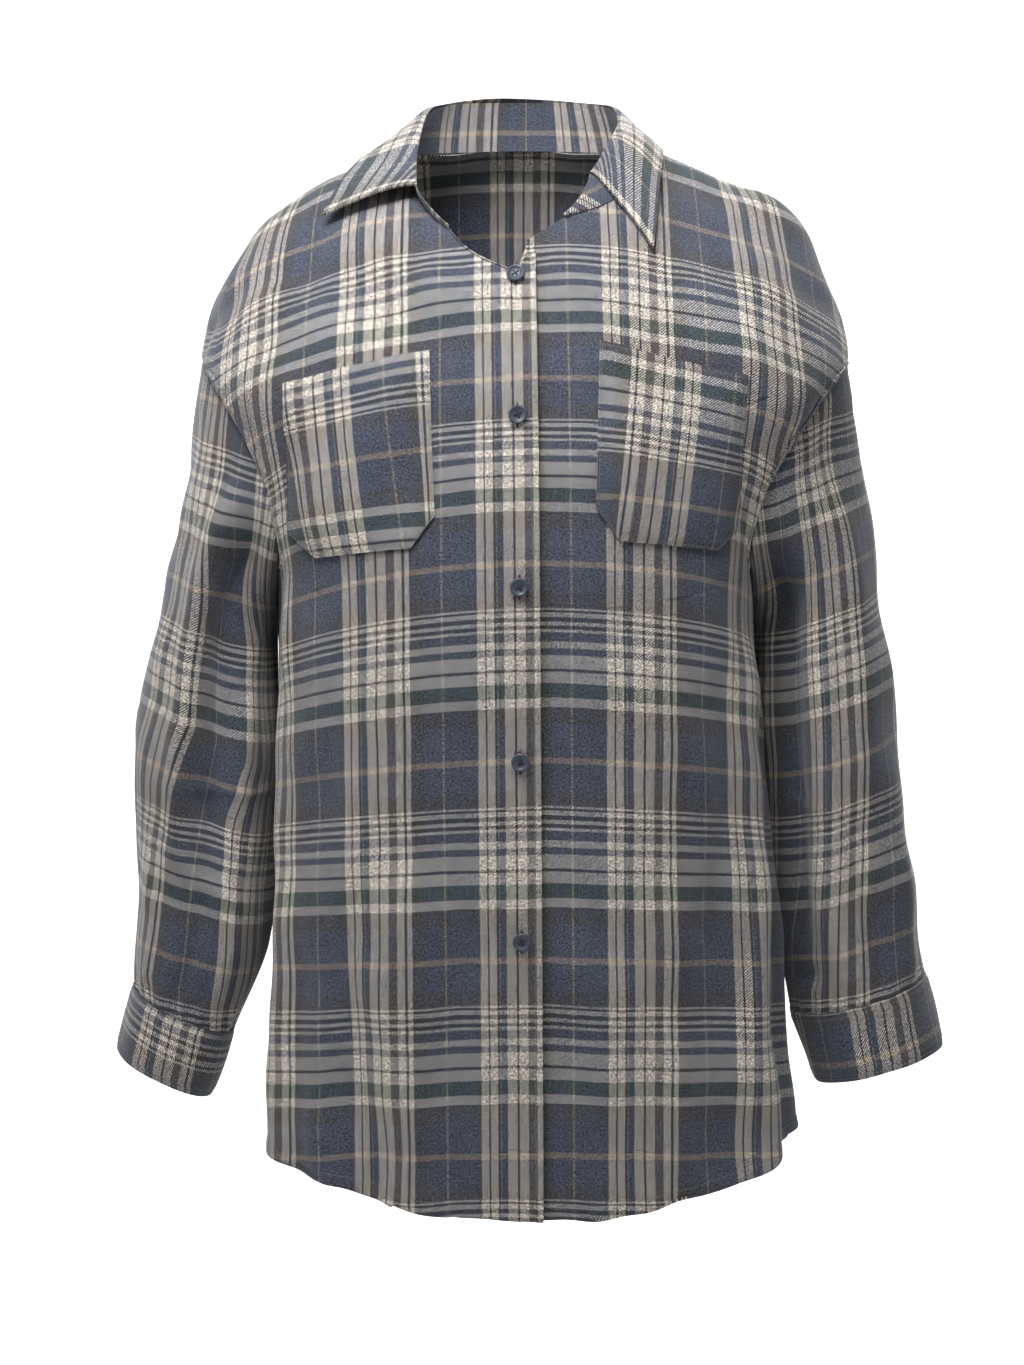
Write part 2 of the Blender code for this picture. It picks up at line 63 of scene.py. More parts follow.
# Torso rings. side is the shoulder line, then the side seam, which lies at right_x on the
# wearer's right and at left_x on the left. power squares the ring's corners, and fall is how
# the height goes from the side to the middle: 1 evenly, 2 staying high near the side.
# Columns: t, right_x, left_x, side_z, front_y, front_z, back_y, back_z, power, fall.
TORSO = (
    (0.0, 0.086, 0.086, 0.008, -0.1, -0.076, 0.072, 0.022, 2.3, 1.05),  # neck seam
    (0.04, 0.126, 0.126, -0.002, -0.112, -0.098, 0.092, 0.0, 2.2, 1.1),
    (0.09, 0.172, 0.174, -0.019, -0.122, -0.124, 0.105, -0.04, 2.2, 1.2),
    (0.135, 0.203, 0.205, -0.043, -0.13, -0.148, 0.113, -0.078, 2.3, 1.35),
    (0.18, 0.224, 0.226, -0.082, -0.138, -0.172, 0.118, -0.118, 2.4, 1.6),
    (0.245, 0.245, 0.243, -0.143, -0.144, -0.206, 0.122, -0.172, 2.5, 1.9),  # top of the armhole
    (0.3, 0.224, 0.214, -0.192, -0.149, -0.24, 0.125, -0.215, 2.6, 2.0),
    (0.35, 0.198, 0.182, -0.24, -0.152, -0.278, 0.126, -0.262, 2.9, 2.0),
    (0.41, 0.187, 0.168, -0.3, -0.153, -0.33, 0.126, -0.318, 2.9, 2.0),  # underarm
    (0.53, 0.188, 0.177, -0.42, -0.149, -0.435, 0.124, -0.428, 2.8, 2.0),
    (0.66, 0.19, 0.187, -0.55, -0.143, -0.56, 0.124, -0.556, 2.7, 2.0),
    (0.78, 0.194, 0.196, -0.662, -0.137, -0.676, 0.126, -0.676, 2.6, 2.0),
    (0.85, 0.197, 0.202, -0.728, -0.132, -0.77, 0.128, -0.772, 2.6, 2.0),  # hem
)
NECK, HEM = TORSO[0][0], TORSO[-1][0]
TIP, UNDERARM = 0.245, 0.41
LEFT_LAPEL_BACK, LEFT_LAPEL_UP, LAPEL_FADE = 0.012, 0.026, 0.06  # the left neck corner stands higher

# How far each armhole bites into the front and the back, as a share of a quarter ring.
FRONT_BITE, BACK_BITE = 0.37, 0.32
TIP_SQUARE, UNDERARM_SQUARE = 0.22, 0.42  # smaller is squarer, at the armhole's two ends

# Folds: ridges (+) and troughs (-) of the torso, from (a, t) at the top to (a, t) at the bottom.
# Columns: a_top, t_top, a_end, t_end, half_width, height.
FOLDS = (
    (-0.62, 0.42, -0.66, 0.88, 0.026, 0.007),
    (-0.42, 0.6, -0.4, 0.9, 0.018, -0.008),
    (-0.3, 0.56, -0.24, 0.9, 0.024, 0.005),
    (-0.86, 0.4, -0.84, 0.9, 0.02, -0.006),
    (0.66, 0.36, 0.6, 0.88, 0.024, 0.007),
    (0.8, 0.44, 0.78, 0.9, 0.018, -0.007),
    (0.36, 0.6, 0.4, 0.9, 0.026, 0.005),
    (1.3, 0.34, 1.26, 0.9, 0.026, 0.008),
    (1.46, 0.42, 1.44, 0.9, 0.02, -0.008),
    (1.66, 0.3, 1.62, 0.9, 0.03, 0.007),
    (-1.28, 0.36, -1.32, 0.9, 0.026, 0.008),
    (-1.5, 0.4, -1.46, 0.9, 0.022, -0.008),
    (-1.74, 0.34, -1.68, 0.9, 0.03, 0.006),
    (1.92, 0.3, 1.9, 0.9, 0.022, -0.005),
)

CLOTH_PER_A = 0.25  # metres of cloth to one unit of a, for the folds' widths
FOLD_RISE = 1.6  # a fold reaches its height at 1 / this of its run

# Front edges. The right front laps over the left and both fall open above the top button.
LAP_X = ((0.0, 0.006), (0.85, 0.012))  # t, x of the right front's edge
BUTTON_IN, UNDERLAP = 0.0145, 0.034  # buttons lie this far in from the edge
V_BOTTOM = 0.028  # t where the neck opening starts
RIGHT_END, LEFT_END = -0.42, 0.2  # a where each front meets the collar stand
OPENING_CURVE = 0.9  # under 1 bows the opening outwards
LAP_STEP = WALL + 2 * GAP  # how far the left front passes under the right
LAP_EASE = 0.045

# Sleeve rings below the armhole: outer and inner line in x and z, and half the depth in y.
# Columns: out_x, out_z, in_x, in_z, half_depth, power.
SLEEVES = {
    "right": (
        (0.265, -0.27, 0.195, -0.36, 0.082, 2.1),
        (0.289, -0.37, 0.193, -0.44, 0.08, 2.2),
        (0.301, -0.465, 0.194, -0.525, 0.074, 2.2),
        (0.3, -0.55, 0.199, -0.592, 0.064, 2.2),
        (0.304, -0.622, 0.226, -0.658, 0.052, 2.2),
    ),
    "left": (
        (0.262, -0.262, 0.177, -0.352, 0.082, 2.1),
        (0.276, -0.362, 0.18, -0.43, 0.08, 2.2),
        (0.287, -0.46, 0.187, -0.515, 0.074, 2.2),
        (0.298, -0.545, 0.195, -0.586, 0.064, 2.2),
        (0.309, -0.614, 0.206, -0.645, 0.054, 2.2),
    ),
}
CUFF_ENDS = {
    "right": (0.318, -0.671, 0.244, -0.709, 0.05, 2.2),
    "left": (0.3226, -0.6685, 0.2225, -0.6985, 0.051, 2.2),
}
SLEEVE_BACK = 0.012  # the sleeves hang this far behind the side seams
CUFF_PROUD, CUFF_SEAM = 0.0008, 0.001
FOLD_FROM, FOLD_TO = 60, 130  # degrees round the armhole from its top
UNDERARM_STAND_OFF = 0.0008

# Collar stations from the right end round the back to the left end: the roll line, where the
# leaf folds over the stand, and the leaf's free edge. The two leaves lie differently.
# Columns: a, roll_x, roll_y, roll_z, edge_x, edge_y, edge_z.
COLLAR = (
    (-0.66, -0.081, -0.06, -0.024, -0.15, -0.057, -0.042),  # right tip
    (-0.8, -0.082, -0.035, -0.002, -0.1345, -0.027, -0.01),
    (-1.0, -0.08, -0.005, 0.022, -0.122, 0.004, 0.008),
    (-1.3, -0.074, 0.035, 0.045, -0.104, 0.054, 0.018),
    (-1.6, -0.049, 0.066, 0.057, -0.069, 0.09, 0.013),
    (-2.0, 0.0, 0.079, 0.06, 0.0, 0.104, 0.012),  # centre back
    (-2.4, 0.045, 0.066, 0.057, 0.065, 0.09, 0.013),
    (-2.7, 0.068, 0.035, 0.046, 0.098, 0.054, 0.019),
    (-3.0, 0.07, 0.0, 0.03, 0.102, 0.0, 0.01),
    (-3.22, 0.06, -0.032, 0.008, 0.097, -0.053, -0.022),
    (-3.42, 0.0465, -0.055, -0.0144, 0.091, -0.095, -0.071),  # left tip
)
STAND_END_SHARE = 0.05  # of the stand's height, left at its ends
STAND_TAPER = 0.38  # in a
LEAF_CLEAR = 0.0022  # between the stand's top and the leaf's, along Z
LEAF_IN = 0.001  # the leaf starts this far inside the stand's outer face
ROLL, ROLL_HIGH = 0.0045, 0.0072  # how far the leaf rolls out and up past the stand's top

# Patch pockets: the upper corner nearest the middle, as x and z, and how the top and the two
# sides run from there. Their grain droops outwards with the drape of the chest.
# Columns: x, z, width, height, droop, side_lean.
POCKETS = {
    "right": (-0.069, -0.146, 0.102, 0.139, 0.024, 0.005),
    "left": (0.051, -0.141, 0.104, 0.139, 0.024, -0.004),
}
POCKET_LIFT = 0.001
POCKET_SAG, POCKET_SHORTER = 1.2, 0.1  # the droop's power, and how much shorter the outer side is
POCKET_BEVEL_WIDE, POCKET_BEVEL_HIGH = 0.17, 0.16  # shares of the width and height

BUTTON_RADIUS, BUTTON_THICK = 0.0065, 0.0026
BUTTON_Z = (-0.092, -0.193, -0.313, -0.436, -0.564)  # heights down the right front

# Creases too fine for the solids, in the same columns as FOLDS.
CREASES = (
    (0.86, 0.42, 0.88, 0.92, 0.024, 0.009),
    (-0.5, 0.3, -0.7, 0.52, 0.016, 0.003),
    (-0.74, 0.34, -0.6, 0.66, 0.012, -0.0028),
    (-0.16, 0.46, -0.2, 0.9, 0.016, -0.003),
    (-0.52, 0.62, -0.5, 0.92, 0.012, 0.004),
    (-0.36, 0.7, -0.345, 0.95, 0.01, -0.005),
    (0.6, 0.44, 0.42, 0.72, 0.012, -0.0034),
    (0.72, 0.5, 0.5, 0.82, 0.014, 0.004),
    (0.2, 0.5, 0.22, 0.92, 0.018, 0.0024),
    (0.52, 0.66, 0.49, 0.92, 0.012, -0.0044),
    (0.3, 0.12, 0.62, 0.3, 0.018, 0.0026),
    (-0.3, 0.12, -0.64, 0.3, 0.018, 0.0028),
    (0.46, 0.06, 0.84, 0.22, 0.014, -0.0022),
    (-0.46, 0.06, -0.84, 0.22, 0.014, -0.0024),
    (1.86, 0.1, 1.6, 0.44, 0.02, -0.003),
    (-1.84, 0.12, -1.62, 0.4, 0.02, -0.003),
    (1.54, 0.06, 1.3, 0.3, 0.016, 0.0026),
    (-1.5, 0.06, -1.28, 0.28, 0.016, 0.0026),
)

# Sleeve creases: from an angle round the sleeve and a share of its length to another.
# Columns: angle_top, share_top, angle_end, share_end, half_width, height.
SLEEVE_CREASES = {
    "right": (
        (80, 0.02, 76, 0.66, 0.011, 0.009),
        (112, 0.0, 106, 0.66, 0.02, -0.015),
        (146, 0.16, 128, 0.5, 0.01, 0.004),
        (168, 0.46, 60, 0.56, 0.012, 0.0016),
        (300, 0.48, 360, 0.56, 0.014, -0.003),
        (310, 0.4, 370, 0.5, 0.014, 0.0034),
        (100, 0.66, 88, 0.97, 0.011, -0.004),
        (126, 0.72, 118, 1.0, 0.01, 0.0036),
        (46, 0.66, 52, 1.0, 0.01, 0.003),
        (300, 0.1, 286, 0.6, 0.014, 0.0044),
        (250, 0.2, 262, 0.7, 0.011, -0.0046),
        (230, 0.5, 300, 0.62, 0.01, 0.004),
        (270, 0.66, 276, 0.98, 0.011, -0.0036),
    ),
    "left": (
        (132, 0.0, 140, 0.9, 0.02, -0.014),
        (104, 0.06, 100, 0.62, 0.01, 0.005),
        (64, 0.08, 66, 0.52, 0.013, 0.003),
        (164, 0.5, 76, 0.6, 0.012, 0.0016),
        (300, 0.5, 350, 0.58, 0.014, -0.003),
        (120, 0.66, 100, 0.98, 0.011, 0.004),
        (84, 0.64, 74, 1.0, 0.01, -0.004),
        (40, 0.7, 44, 1.0, 0.01, 0.0028),
        (296, 0.1, 280, 0.58, 0.014, 0.0044),
        (250, 0.16, 258, 0.72, 0.011, -0.0046),
        (228, 0.52, 296, 0.64, 0.01, 0.0038),
        (268, 0.66, 280, 0.98, 0.011, -0.0036),
    ),
}

# The sett in millimetres of cloth, across the warp and down the weft.
WARP = (
    ("navy", 23.6), ("cream", 5.4), ("dark", 1.35), ("cream", 5.5), ("dark", 1.3), ("taupe", 1.1),
    ("navy", 4.3), ("cream", 7.0), ("dark", 1.4), ("cream", 6.9), ("brown", 5.8), ("cream", 5.7),
    ("dark", 1.9), ("cream", 3.5), ("umber", 9.0), ("navy", 13.2), ("tan", 1.8),
)
WEFT = (
    ("pale", 9.6), ("dark", 2.0), ("pale", 8.1), ("green", 10.0), ("pale", 6.5), ("umber", 12.0),
    ("navy", 22.5), ("tan", 4.4), ("navy", 19.0), ("umber", 10.0), ("pale", 1.5), ("dark", 1.6),
    ("pale", 3.5), ("dark", 2.8), ("pale", 2.9), ("dark", 2.9), ("pale", 2.1), ("navy", 6.5),
    ("pale", 4.9), ("navy", 4.9),
)
WARP_REPEAT = sum(width for _, width in WARP) / 1000
WEFT_REPEAT = sum(width for _, width in WEFT) / 1000
GREEN_MIDDLE = 0.0247  # down the weft repeat, to the middle of the green stripe
YARNS = {
    "navy": (0.06, 0.072, 0.106),
    "umber": (0.062, 0.059, 0.064),
    "cream": (0.69, 0.605, 0.51),
    "pale": (0.52, 0.495, 0.455),
    "dark": (0.026, 0.028, 0.036),
    "taupe": (0.2, 0.17, 0.15),
    "brown": (0.115, 0.096, 0.088),
    "tan": (0.3, 0.235, 0.185),
    "green": (0.036, 0.062, 0.058),
}
NAP_GAMMA = 6.5  # yarns blend as encoded colours, since the nap hides the paler one
TWILL = 0.0021  # pitch of the diagonal rib along the weft

# Where the green stripe crosses the closed front edge, and how far the weft has drooped at
# DROOP_AT from there round the ring.
GREEN_Z = (-0.1215, -0.2475, -0.385, -0.528, -0.671)
DROOP_AT = 0.17
DROOP = ((-0.8, 0.01), (-0.67, 0.011), (-0.53, 0.011), (-0.385, 0.02), (-0.25, 0.027), (0.0, 0.025))
DROOP_LIMIT = 0.25
FRONT_WARP_START = {"right": 0.068, "left": -0.0229}  # u at the closed front edge
BACK_WARP_START = 0.052

# Green stripe on each sleeve: how far down it crosses the sleeve's middle, and the weft's tilt.
SLEEVE_GREEN = {"right": (0.272, 0.407, 0.547), "left": (0.257, 0.394, 0.537)}
SLEEVE_TILT = ((-0.66, 0.27), (-0.45, 0.33), (-0.2, 0.45))
# u at the sleeve's outer line against height: the right sleeve's cloth is twisted.
SLEEVE_WARP = {
    "right": (
        (-0.62, 0.018), (-0.563, 0.0055), (-0.5, -0.014), (-0.42, -0.035), (-0.33, -0.034),
        (-0.25, -0.028),
    ),
    "left": ((-0.62, 0.061), (-0.15, 0.061)),
}
CUFF_WARP = {"right": -0.0264, "left": 0.1286}


# ---- the form, as in the solids ----

def smooth(knots, values, at):
    """A monotone cubic through (knots, values). values may have several columns."""
    knots, values = np.asarray(knots, float), np.asarray(values, float)
    flat = values.reshape(len(knots), -1)
    width = np.diff(knots)[:, None]
    slope = np.diff(flat, axis=0) / width
    lean = np.zeros_like(flat)
    lean[0], lean[-1] = slope[0], slope[-1]
    before, after = slope[:-1], slope[1:]
    same = before * after > 0
    safe = np.where(same, before + after, 1.0)
    lean[1:-1] = np.where(same, 2 * before * after / safe, 0.0)
    at = np.clip(np.asarray(at, float), knots[0], knots[-1])
    i = np.clip(np.searchsorted(knots, at, side="right") - 1, 0, len(knots) - 2)
    h = width[i]
    s = (at - knots[i])[..., None] / h
    made = (
        (1 + 2 * s) * (1 - s) ** 2 * flat[i]
        + s * (1 - s) ** 2 * h * lean[i]
        + s * s * (3 - 2 * s) * flat[i + 1]
        + s * s * (s - 1) * h * lean[i + 1]
    )
    return made.reshape(at.shape + values.shape[1:])


def ease(x):
    """0 to 1, flat at both ends."""
    x = np.clip(x, 0.0, 1.0)
    return x * x * (3 - 2 * x)


def unit(v):
    return v / np.maximum(np.linalg.norm(v, axis=-1, keepdims=True), 1e-12)


TORSO_TABLE = np.array(TORSO)
HALVINGS, EDGE_A = 40, 0.5                     # to find a front edge: tries, and the most a
NEWTON_STEPS, MOST_A, MOST_T = 12, 0.1, 0.05   # to find a place: tries, and the most moved in one
FRONT_HALF, FAR_A = 0.2, 0.8                   # where they start: metres to one a, and the most a


def torso_base(a, t):
    """Points of the torso's outer face with no folds."""
    a, t = np.broadcast_arrays(np.asarray(a, float), np.asarray(t, float))
    right_x, left_x, side_z, front_y, front_z, back_y, back_z, power, fall = np.moveaxis(
        smooth(TORSO_TABLE[:, 0], TORSO_TABLE[:, 1:], t), -1, 0
    )
    turn = np.abs((a + 2) % 4 - 2)
    right = np.where((a + 2) % 4 - 2 < 0, -1.0, 1.0)     # -1 on the wearer's right
    front = turn <= 1
    fade = ease(1 - t / LAPEL_FADE) * (right > 0) * front
    end_y = np.where(front, front_y + LEFT_LAPEL_BACK * fade, back_y)
    end_z = np.where(front, front_z + LEFT_LAPEL_UP * fade, back_z)
    angle = np.pi / 2 * np.where(front, turn, 2 - turn)
    sine, cosine = np.sin(angle), np.cos(angle)
    corner = (sine**power + np.maximum(cosine, 0) ** power) ** (-1 / power)
    x = np.where(right < 0, -right_x, left_x) * sine * corner
    y = end_y * cosine * corner
    z = side_z + (end_z - side_z) * np.maximum(cosine, 0) ** fall
    return np.stack([x, y, z], -1)


def slopes_normal(surface, p, q):
    """Unit outward normal of surface(p, q) by differences."""
    along = surface(p + RIDGE_REACH, q) - surface(p - RIDGE_REACH, q)
    down = surface(p, q + STEP) - surface(p, q - STEP)
    return unit(np.cross(down, along))


def fold_height(a, t):
    """How far the folds move the torso out at (a, t)."""
    total = np.zeros(np.broadcast(a, t).shape)
    for a_top, t_top, a_end, t_end, half_width, height in FOLDS + CREASES:
        down = np.clip((t - t_top) / (t_end - t_top), 0, 1)
        line = a_top + (a_end - a_top) * down
        across = ((a - line + 2) % 4 - 2) * CLOTH_PER_A / half_width
        total = total + height * ease(down * FOLD_RISE) * np.exp(-across * across)
    return total


def torso(a, t):
    """Points of the torso's outer face."""
    a, t = np.broadcast_arrays(np.asarray(a, float), np.asarray(t, float))
    lift = fold_height(a, t)
    return torso_base(a, t) + lift[..., None] * slopes_normal(torso_base, a, t)


def torso_normal(a, t):
    return slopes_normal(torso, np.asarray(a, float), np.asarray(t, float))


def a_at_x(x, t):
    """a on the front half where the ring at t passes x."""
    low, high = np.full(np.shape(t), -EDGE_A), np.full(np.shape(t), EDGE_A)
    for _ in range(HALVINGS):
        middle = (low + high) / 2
        short = torso_base(middle, t)[..., 0] < x
        low, high = np.where(short, middle, low), np.where(short, high, middle)
    return (low + high) / 2


def bite_share(sine, t):
    """How much of its full bite an armhole has at t, where sine is 0 at its ends and 1 midway."""
    down = np.clip((t - TIP) / (UNDERARM - TIP), 0, 1)
    return sine ** (TIP_SQUARE + (UNDERARM_SQUARE - TIP_SQUARE) * down)


def armhole(angle, side):
    """(a, t) of the armhole at an angle: 0 at its top, 90 at the front, 180 under the arm."""
    radians = np.radians(angle)
    t = TIP + (UNDERARM - TIP) * (1 - np.cos(radians)) / 2
    bite = np.where(np.sin(radians) >= 0, FRONT_BITE, -BACK_BITE)
    a = 1 - bite * bite_share(np.abs(np.sin(radians)), t)
    return SIGN[side] * a, t


def outer_a(t, bite):
    """a of a panel's outer edge at t: the shoulder or side line, or the armhole."""
    inside = (t > TIP) & (t < UNDERARM)
    sine = np.sqrt(np.clip(1 - (1 - 2 * (t - TIP) / (UNDERARM - TIP)) ** 2, 0, 1))
    return 1 - np.where(inside, bite * bite_share(sine, t), 0.0)


def edge_x(t):
    return np.interp(t, *zip(*LAP_X))


def front_edge(t, side):
    """a of each front's free edge, which swings aside above the top button."""
    lap = a_at_x(edge_x(t) - (UNDERLAP if side == "left" else 0), t)
    end = LEFT_END if side == "left" else RIGHT_END
    open_share = 1 - np.clip(t / V_BOTTOM, 0, 1)
    return lap + (end - lap) * open_share**OPENING_CURVE


def lap_sink(a, t):
    """The left front dips under the right front where they lap."""
    x = torso_base(a, t)[..., 0]
    return LAP_STEP * ease(1 - (x - edge_x(t)) / LAP_EASE)


def place_on_front(x, z):
    """(a, t) where the front's plain surface passes x and z, by Newton's method."""
    t = np.interp(-z, -TORSO_TABLE[:, 5], TORSO_TABLE[:, 0])
    a = np.clip(x / FRONT_HALF, -FAR_A, FAR_A)
    for _ in range(NEWTON_STEPS):
        here = torso_base(a, t)
        by_a = (torso_base(a + STEP, t) - here) / STEP
        by_t = (torso_base(a, t + STEP) - here) / STEP
        miss_x, miss_z = x - here[..., 0], z - here[..., 2]
        scale = by_a[..., 0] * by_t[..., 2] - by_a[..., 2] * by_t[..., 0]
        a = a + np.clip((miss_x * by_t[..., 2] - miss_z * by_t[..., 0]) / scale, -MOST_A, MOST_A)
        t = t + np.clip((miss_z * by_a[..., 0] - miss_x * by_a[..., 2]) / scale, -MOST_T, MOST_T)
    return a, t


def ring_points(row, angle, sign):
    """Points of one sleeve ring at angles: 0 outer, 90 front, 180 inner, 270 back."""
    out_x, out_z, in_x, in_z, half_depth, power = row
    sine, cosine = np.sin(np.radians(angle)), np.cos(np.radians(angle))
    corner = (np.abs(sine) ** power + np.abs(cosine) ** power) ** (-1 / power)
    x = (out_x + in_x) / 2 + (out_x - in_x) / 2 * cosine * corner
    y = SLEEVE_BACK - half_depth * sine * corner
    z = (out_z + in_z) / 2 + (out_z - in_z) / 2 * cosine * corner
    return np.stack([sign * x, y, z], -1)


def armhole_ring(side, angle):
    """The sleeve's first ring and the way its wall faces there.

    Over the shoulder the sleeve goes on from the torso. Under the arm the cloth folds back on
    itself, so the sleeve's wall turns to face down, and stands off the torso.
    """
    a, t = armhole(angle, side)
    points, normal = torso(a, t), torso_normal(a, t)
    inward = points.mean(axis=0) - points
    inward = unit(inward - (inward * normal).sum(-1, keepdims=True) * normal)
    down_round = np.abs((angle + 180) % 360 - 180)
    fold = np.radians(90 * ease((down_round - FOLD_FROM) / (FOLD_TO - FOLD_FROM)))[:, None]
    facing = unit(normal * np.cos(fold) - inward * np.sin(fold))
    return points + ARMHOLE_GAP * inward + UNDERARM_STAND_OFF * np.sin(fold) * normal, facing


def sleeve_grid(side, angle, share):
    """Outer points of a sleeve: share 0 at the armhole and 1 at the cuff seam."""
    rings = [armhole_ring(side, angle)[0]]
    rings += [ring_points(row, angle, SIGN[side]) for row in SLEEVES[side]]
    return smooth(np.linspace(0, 1, len(rings)), np.stack(rings), share)


def grid_normals(points, sign):
    """Outward normals of a closed tube's grid."""
    round_it = np.roll(points, -1, axis=1) - np.roll(points, 1, axis=1)
    down = np.gradient(points, axis=0)
    return unit(np.cross(round_it, down)) * sign


def cuff_grid(side, angle, share):
    """Outer points of a cuff, from its seam to its end."""
    top = ring_points(SLEEVES[side][-1], angle, SIGN[side])
    end = ring_points(CUFF_ENDS[side], angle, SIGN[side])
    length = np.linalg.norm(end - top, axis=-1, keepdims=True)
    start = CUFF_SEAM / length
    return top + (end - top) * (start + (1 - start) * share[:, None, None])


def neck_frame(a):
    """Neck seam points with their level outward direction."""
    points = torso(a, np.full(np.shape(a), NECK))
    ahead = torso_base(a + NECK_STEP, NECK) - torso_base(a - NECK_STEP, NECK)
    out = unit(np.stack([-ahead[..., 1], ahead[..., 0], np.zeros(np.shape(a))], -1))
    outward = (out * points).sum(-1, keepdims=True)
    return points, np.where(outward < 0, -out, out)


COLLAR_TABLE = np.array(COLLAR)


def collar_line(a):
    """Roll line and leaf edge for each a from right to left."""
    rows = smooth(-COLLAR_TABLE[:, 0], COLLAR_TABLE[:, 1:], -a)
    return rows[..., :3], rows[..., 3:]


# ---- fine form ----

RUMPLE_SEED, RUMPLE_WAVES, RUMPLE_HEIGHT = 11, 14, 0.00075
RUMPLE_LONGEST, RUMPLE_SHORTEST = 0.16, 0.035
RUMPLE_LEAN = (1.0, 0.7, 0.55)  # how strongly the waves run along x, y and z
SWAY, SWAY_LENGTH = 1.3, 2.7  # radians, and wavelengths
LONG_SHARE, SHARE_DROP = 1.15, 0.8  # the longest waves' height, and how much less the shortest have


def rumple(points):
    """How far the cloth stands off its smooth form: soft uneven waves, the same each run."""
    draw = np.random.default_rng(RUMPLE_SEED)
    total = np.zeros(points.shape[:-1])
    for share in np.arange(RUMPLE_WAVES) / (RUMPLE_WAVES - 1):
        length = RUMPLE_LONGEST * (RUMPLE_SHORTEST / RUMPLE_LONGEST) ** share
        direction = unit(draw.normal(size=3) * RUMPLE_LEAN)
        phase, bend = draw.uniform(0, 2 * np.pi, 2)
        along = points @ direction * 2 * np.pi / length
        aside = points @ np.roll(direction, 1) * 2 * np.pi / (SWAY_LENGTH * length)
        wave = np.sin(along + phase + SWAY * np.sin(aside + bend))
        total = total + wave * (LONG_SHARE - SHARE_DROP * share)
    return RUMPLE_HEIGHT * total


def band(distance, width, soften):
    """1 within width of an edge, falling to 0 over soften."""
    return 1 - ease((distance - width) / soften)


def bell(distance, width):
    """1 at no distance, falling off both ways over width."""
    return np.exp(-((distance / width) ** 2))


def spread(count, crowd):
    """0 to 1 in count steps, crowded towards both ends."""
    x = np.linspace(0, 1, count + 1)
    return x - crowd * np.sin(2 * np.pi * x) / (2 * np.pi)


def run_length(points, axis=0):
    """Length from the start of a line, or of each line of a grid."""
    step = np.linalg.norm(np.diff(points, axis=axis), axis=-1)
    return np.concatenate([np.zeros_like(step.take([0], axis)), np.cumsum(step, axis)], axis)


def carry_on(at, knots, values):
    """Straight lines through (knots, values) that go on past both ends."""
    low = (values[1] - values[0]) / (knots[1] - knots[0])
    high = (values[-1] - values[-2]) / (knots[-1] - knots[-2])
    before, after = np.minimum(at - knots[0], 0), np.maximum(at - knots[-1], 0)
    return np.interp(at, knots, values) + low * before + high * after


# ---- meshes ----

CLOTH_SHARP, BUTTON_SHARP = math.radians(55), math.radians(38)


def add(name, data):
    made = bpy.data.objects.new(name, data)
    bpy.context.collection.objects.link(made)
    return made


def link(name, mesh, material):
    mesh.shade_smooth()
    mesh.materials.append(material)
    made = add(name, mesh)
    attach(made, "root")
    return made


def mesh_from(name, points, faces):
    mesh = bpy.data.meshes.new(name)
    mesh.from_pydata(points.tolist(), [], faces.tolist())
    mesh.update()
    return mesh


def wall(name, outer, inner, cut, material, closed=False):
    """A closed wall between two grids. cut holds u and v, with one more column when closed."""
    rows, columns = outer.shape[:2]
    count = rows * columns
    reach = columns if closed else columns - 1
    i, j = (index.ravel() for index in np.meshgrid(np.arange(rows - 1), np.arange(reach), indexing="ij"))
    corners = [(i, j), (i + 1, j), (i + 1, j + 1), (i, j + 1)]
    outside = np.stack([r * columns + c % columns for r, c in corners], 1)
    outside_cut = np.stack([cut[r, c] for r, c in corners], 1)
    k = np.arange(reach)
    ends = [(0 * k, k, 0 * k, k + 1), (0 * k + rows - 1, k + 1, 0 * k + rows - 1, k)]
    if not closed:
        k = np.arange(rows - 1)
        ends += [(k + 1, 0 * k, k, 0 * k), (k, 0 * k + columns - 1, k + 1, 0 * k + columns - 1)]
    rims, rim_cuts = [], []
    for r0, c0, r1, c1 in ends:
        first, second = r0 * columns + c0 % columns, r1 * columns + c1 % columns
        rims.append(np.stack([first, second, second + count, first + count], 1))
        rim_cuts.append(np.stack([cut[r0, c0], cut[r1, c1], cut[r1, c1], cut[r0, c0]], 1))
    faces = np.concatenate([outside, outside[:, ::-1] + count] + rims)
    cuts = np.concatenate([outside_cut, outside_cut[:, ::-1]] + rim_cuts)
    points = np.concatenate([outer.reshape(-1, 3), inner.reshape(-1, 3)])
    sample = outside[len(outside) // 2]
    facing = np.cross(points[sample[1]] - points[sample[0]], points[sample[3]] - points[sample[0]])
    if facing @ (points[sample[0]] - points[sample[0] + count]) < 0:
        faces, cuts = faces[:, ::-1], cuts[:, ::-1]
    mesh = mesh_from(name, points, faces)
    mesh.uv_layers.new(name="Cut").data.foreach_set("uv", cuts.reshape(-1).astype(np.float32))
    made = link(name, mesh, material)
    mesh.set_sharp_from_angle(angle=CLOTH_SHARP)
    return made


def piece(node, slot, outer, inner, cut, material, closed=False, **sheet):
    """A cloth wall in a node's place. sheet, the cloth that it was cut from, is not used."""
    made = wall("shirt_" + node, outer, inner, cut, material, closed)
    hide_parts(node)


STITCH_SIDES = 5
STITCH_PITCH, STITCH_LONG, STITCH_RADIUS = 0.0031, 0.0023, 0.00024
STITCH_RINGS = ((-0.5, 0.45), (0.0, 1.0), (0.5, 0.45))  # shares of the length and of the radius
STITCH_SUNK = 0.4  # of the radius


def follow(gone, values, at):
    """values along a line, at lengths from its start."""
    return np.stack([np.interp(at, gone, values[:, k]) for k in range(3)], 1)


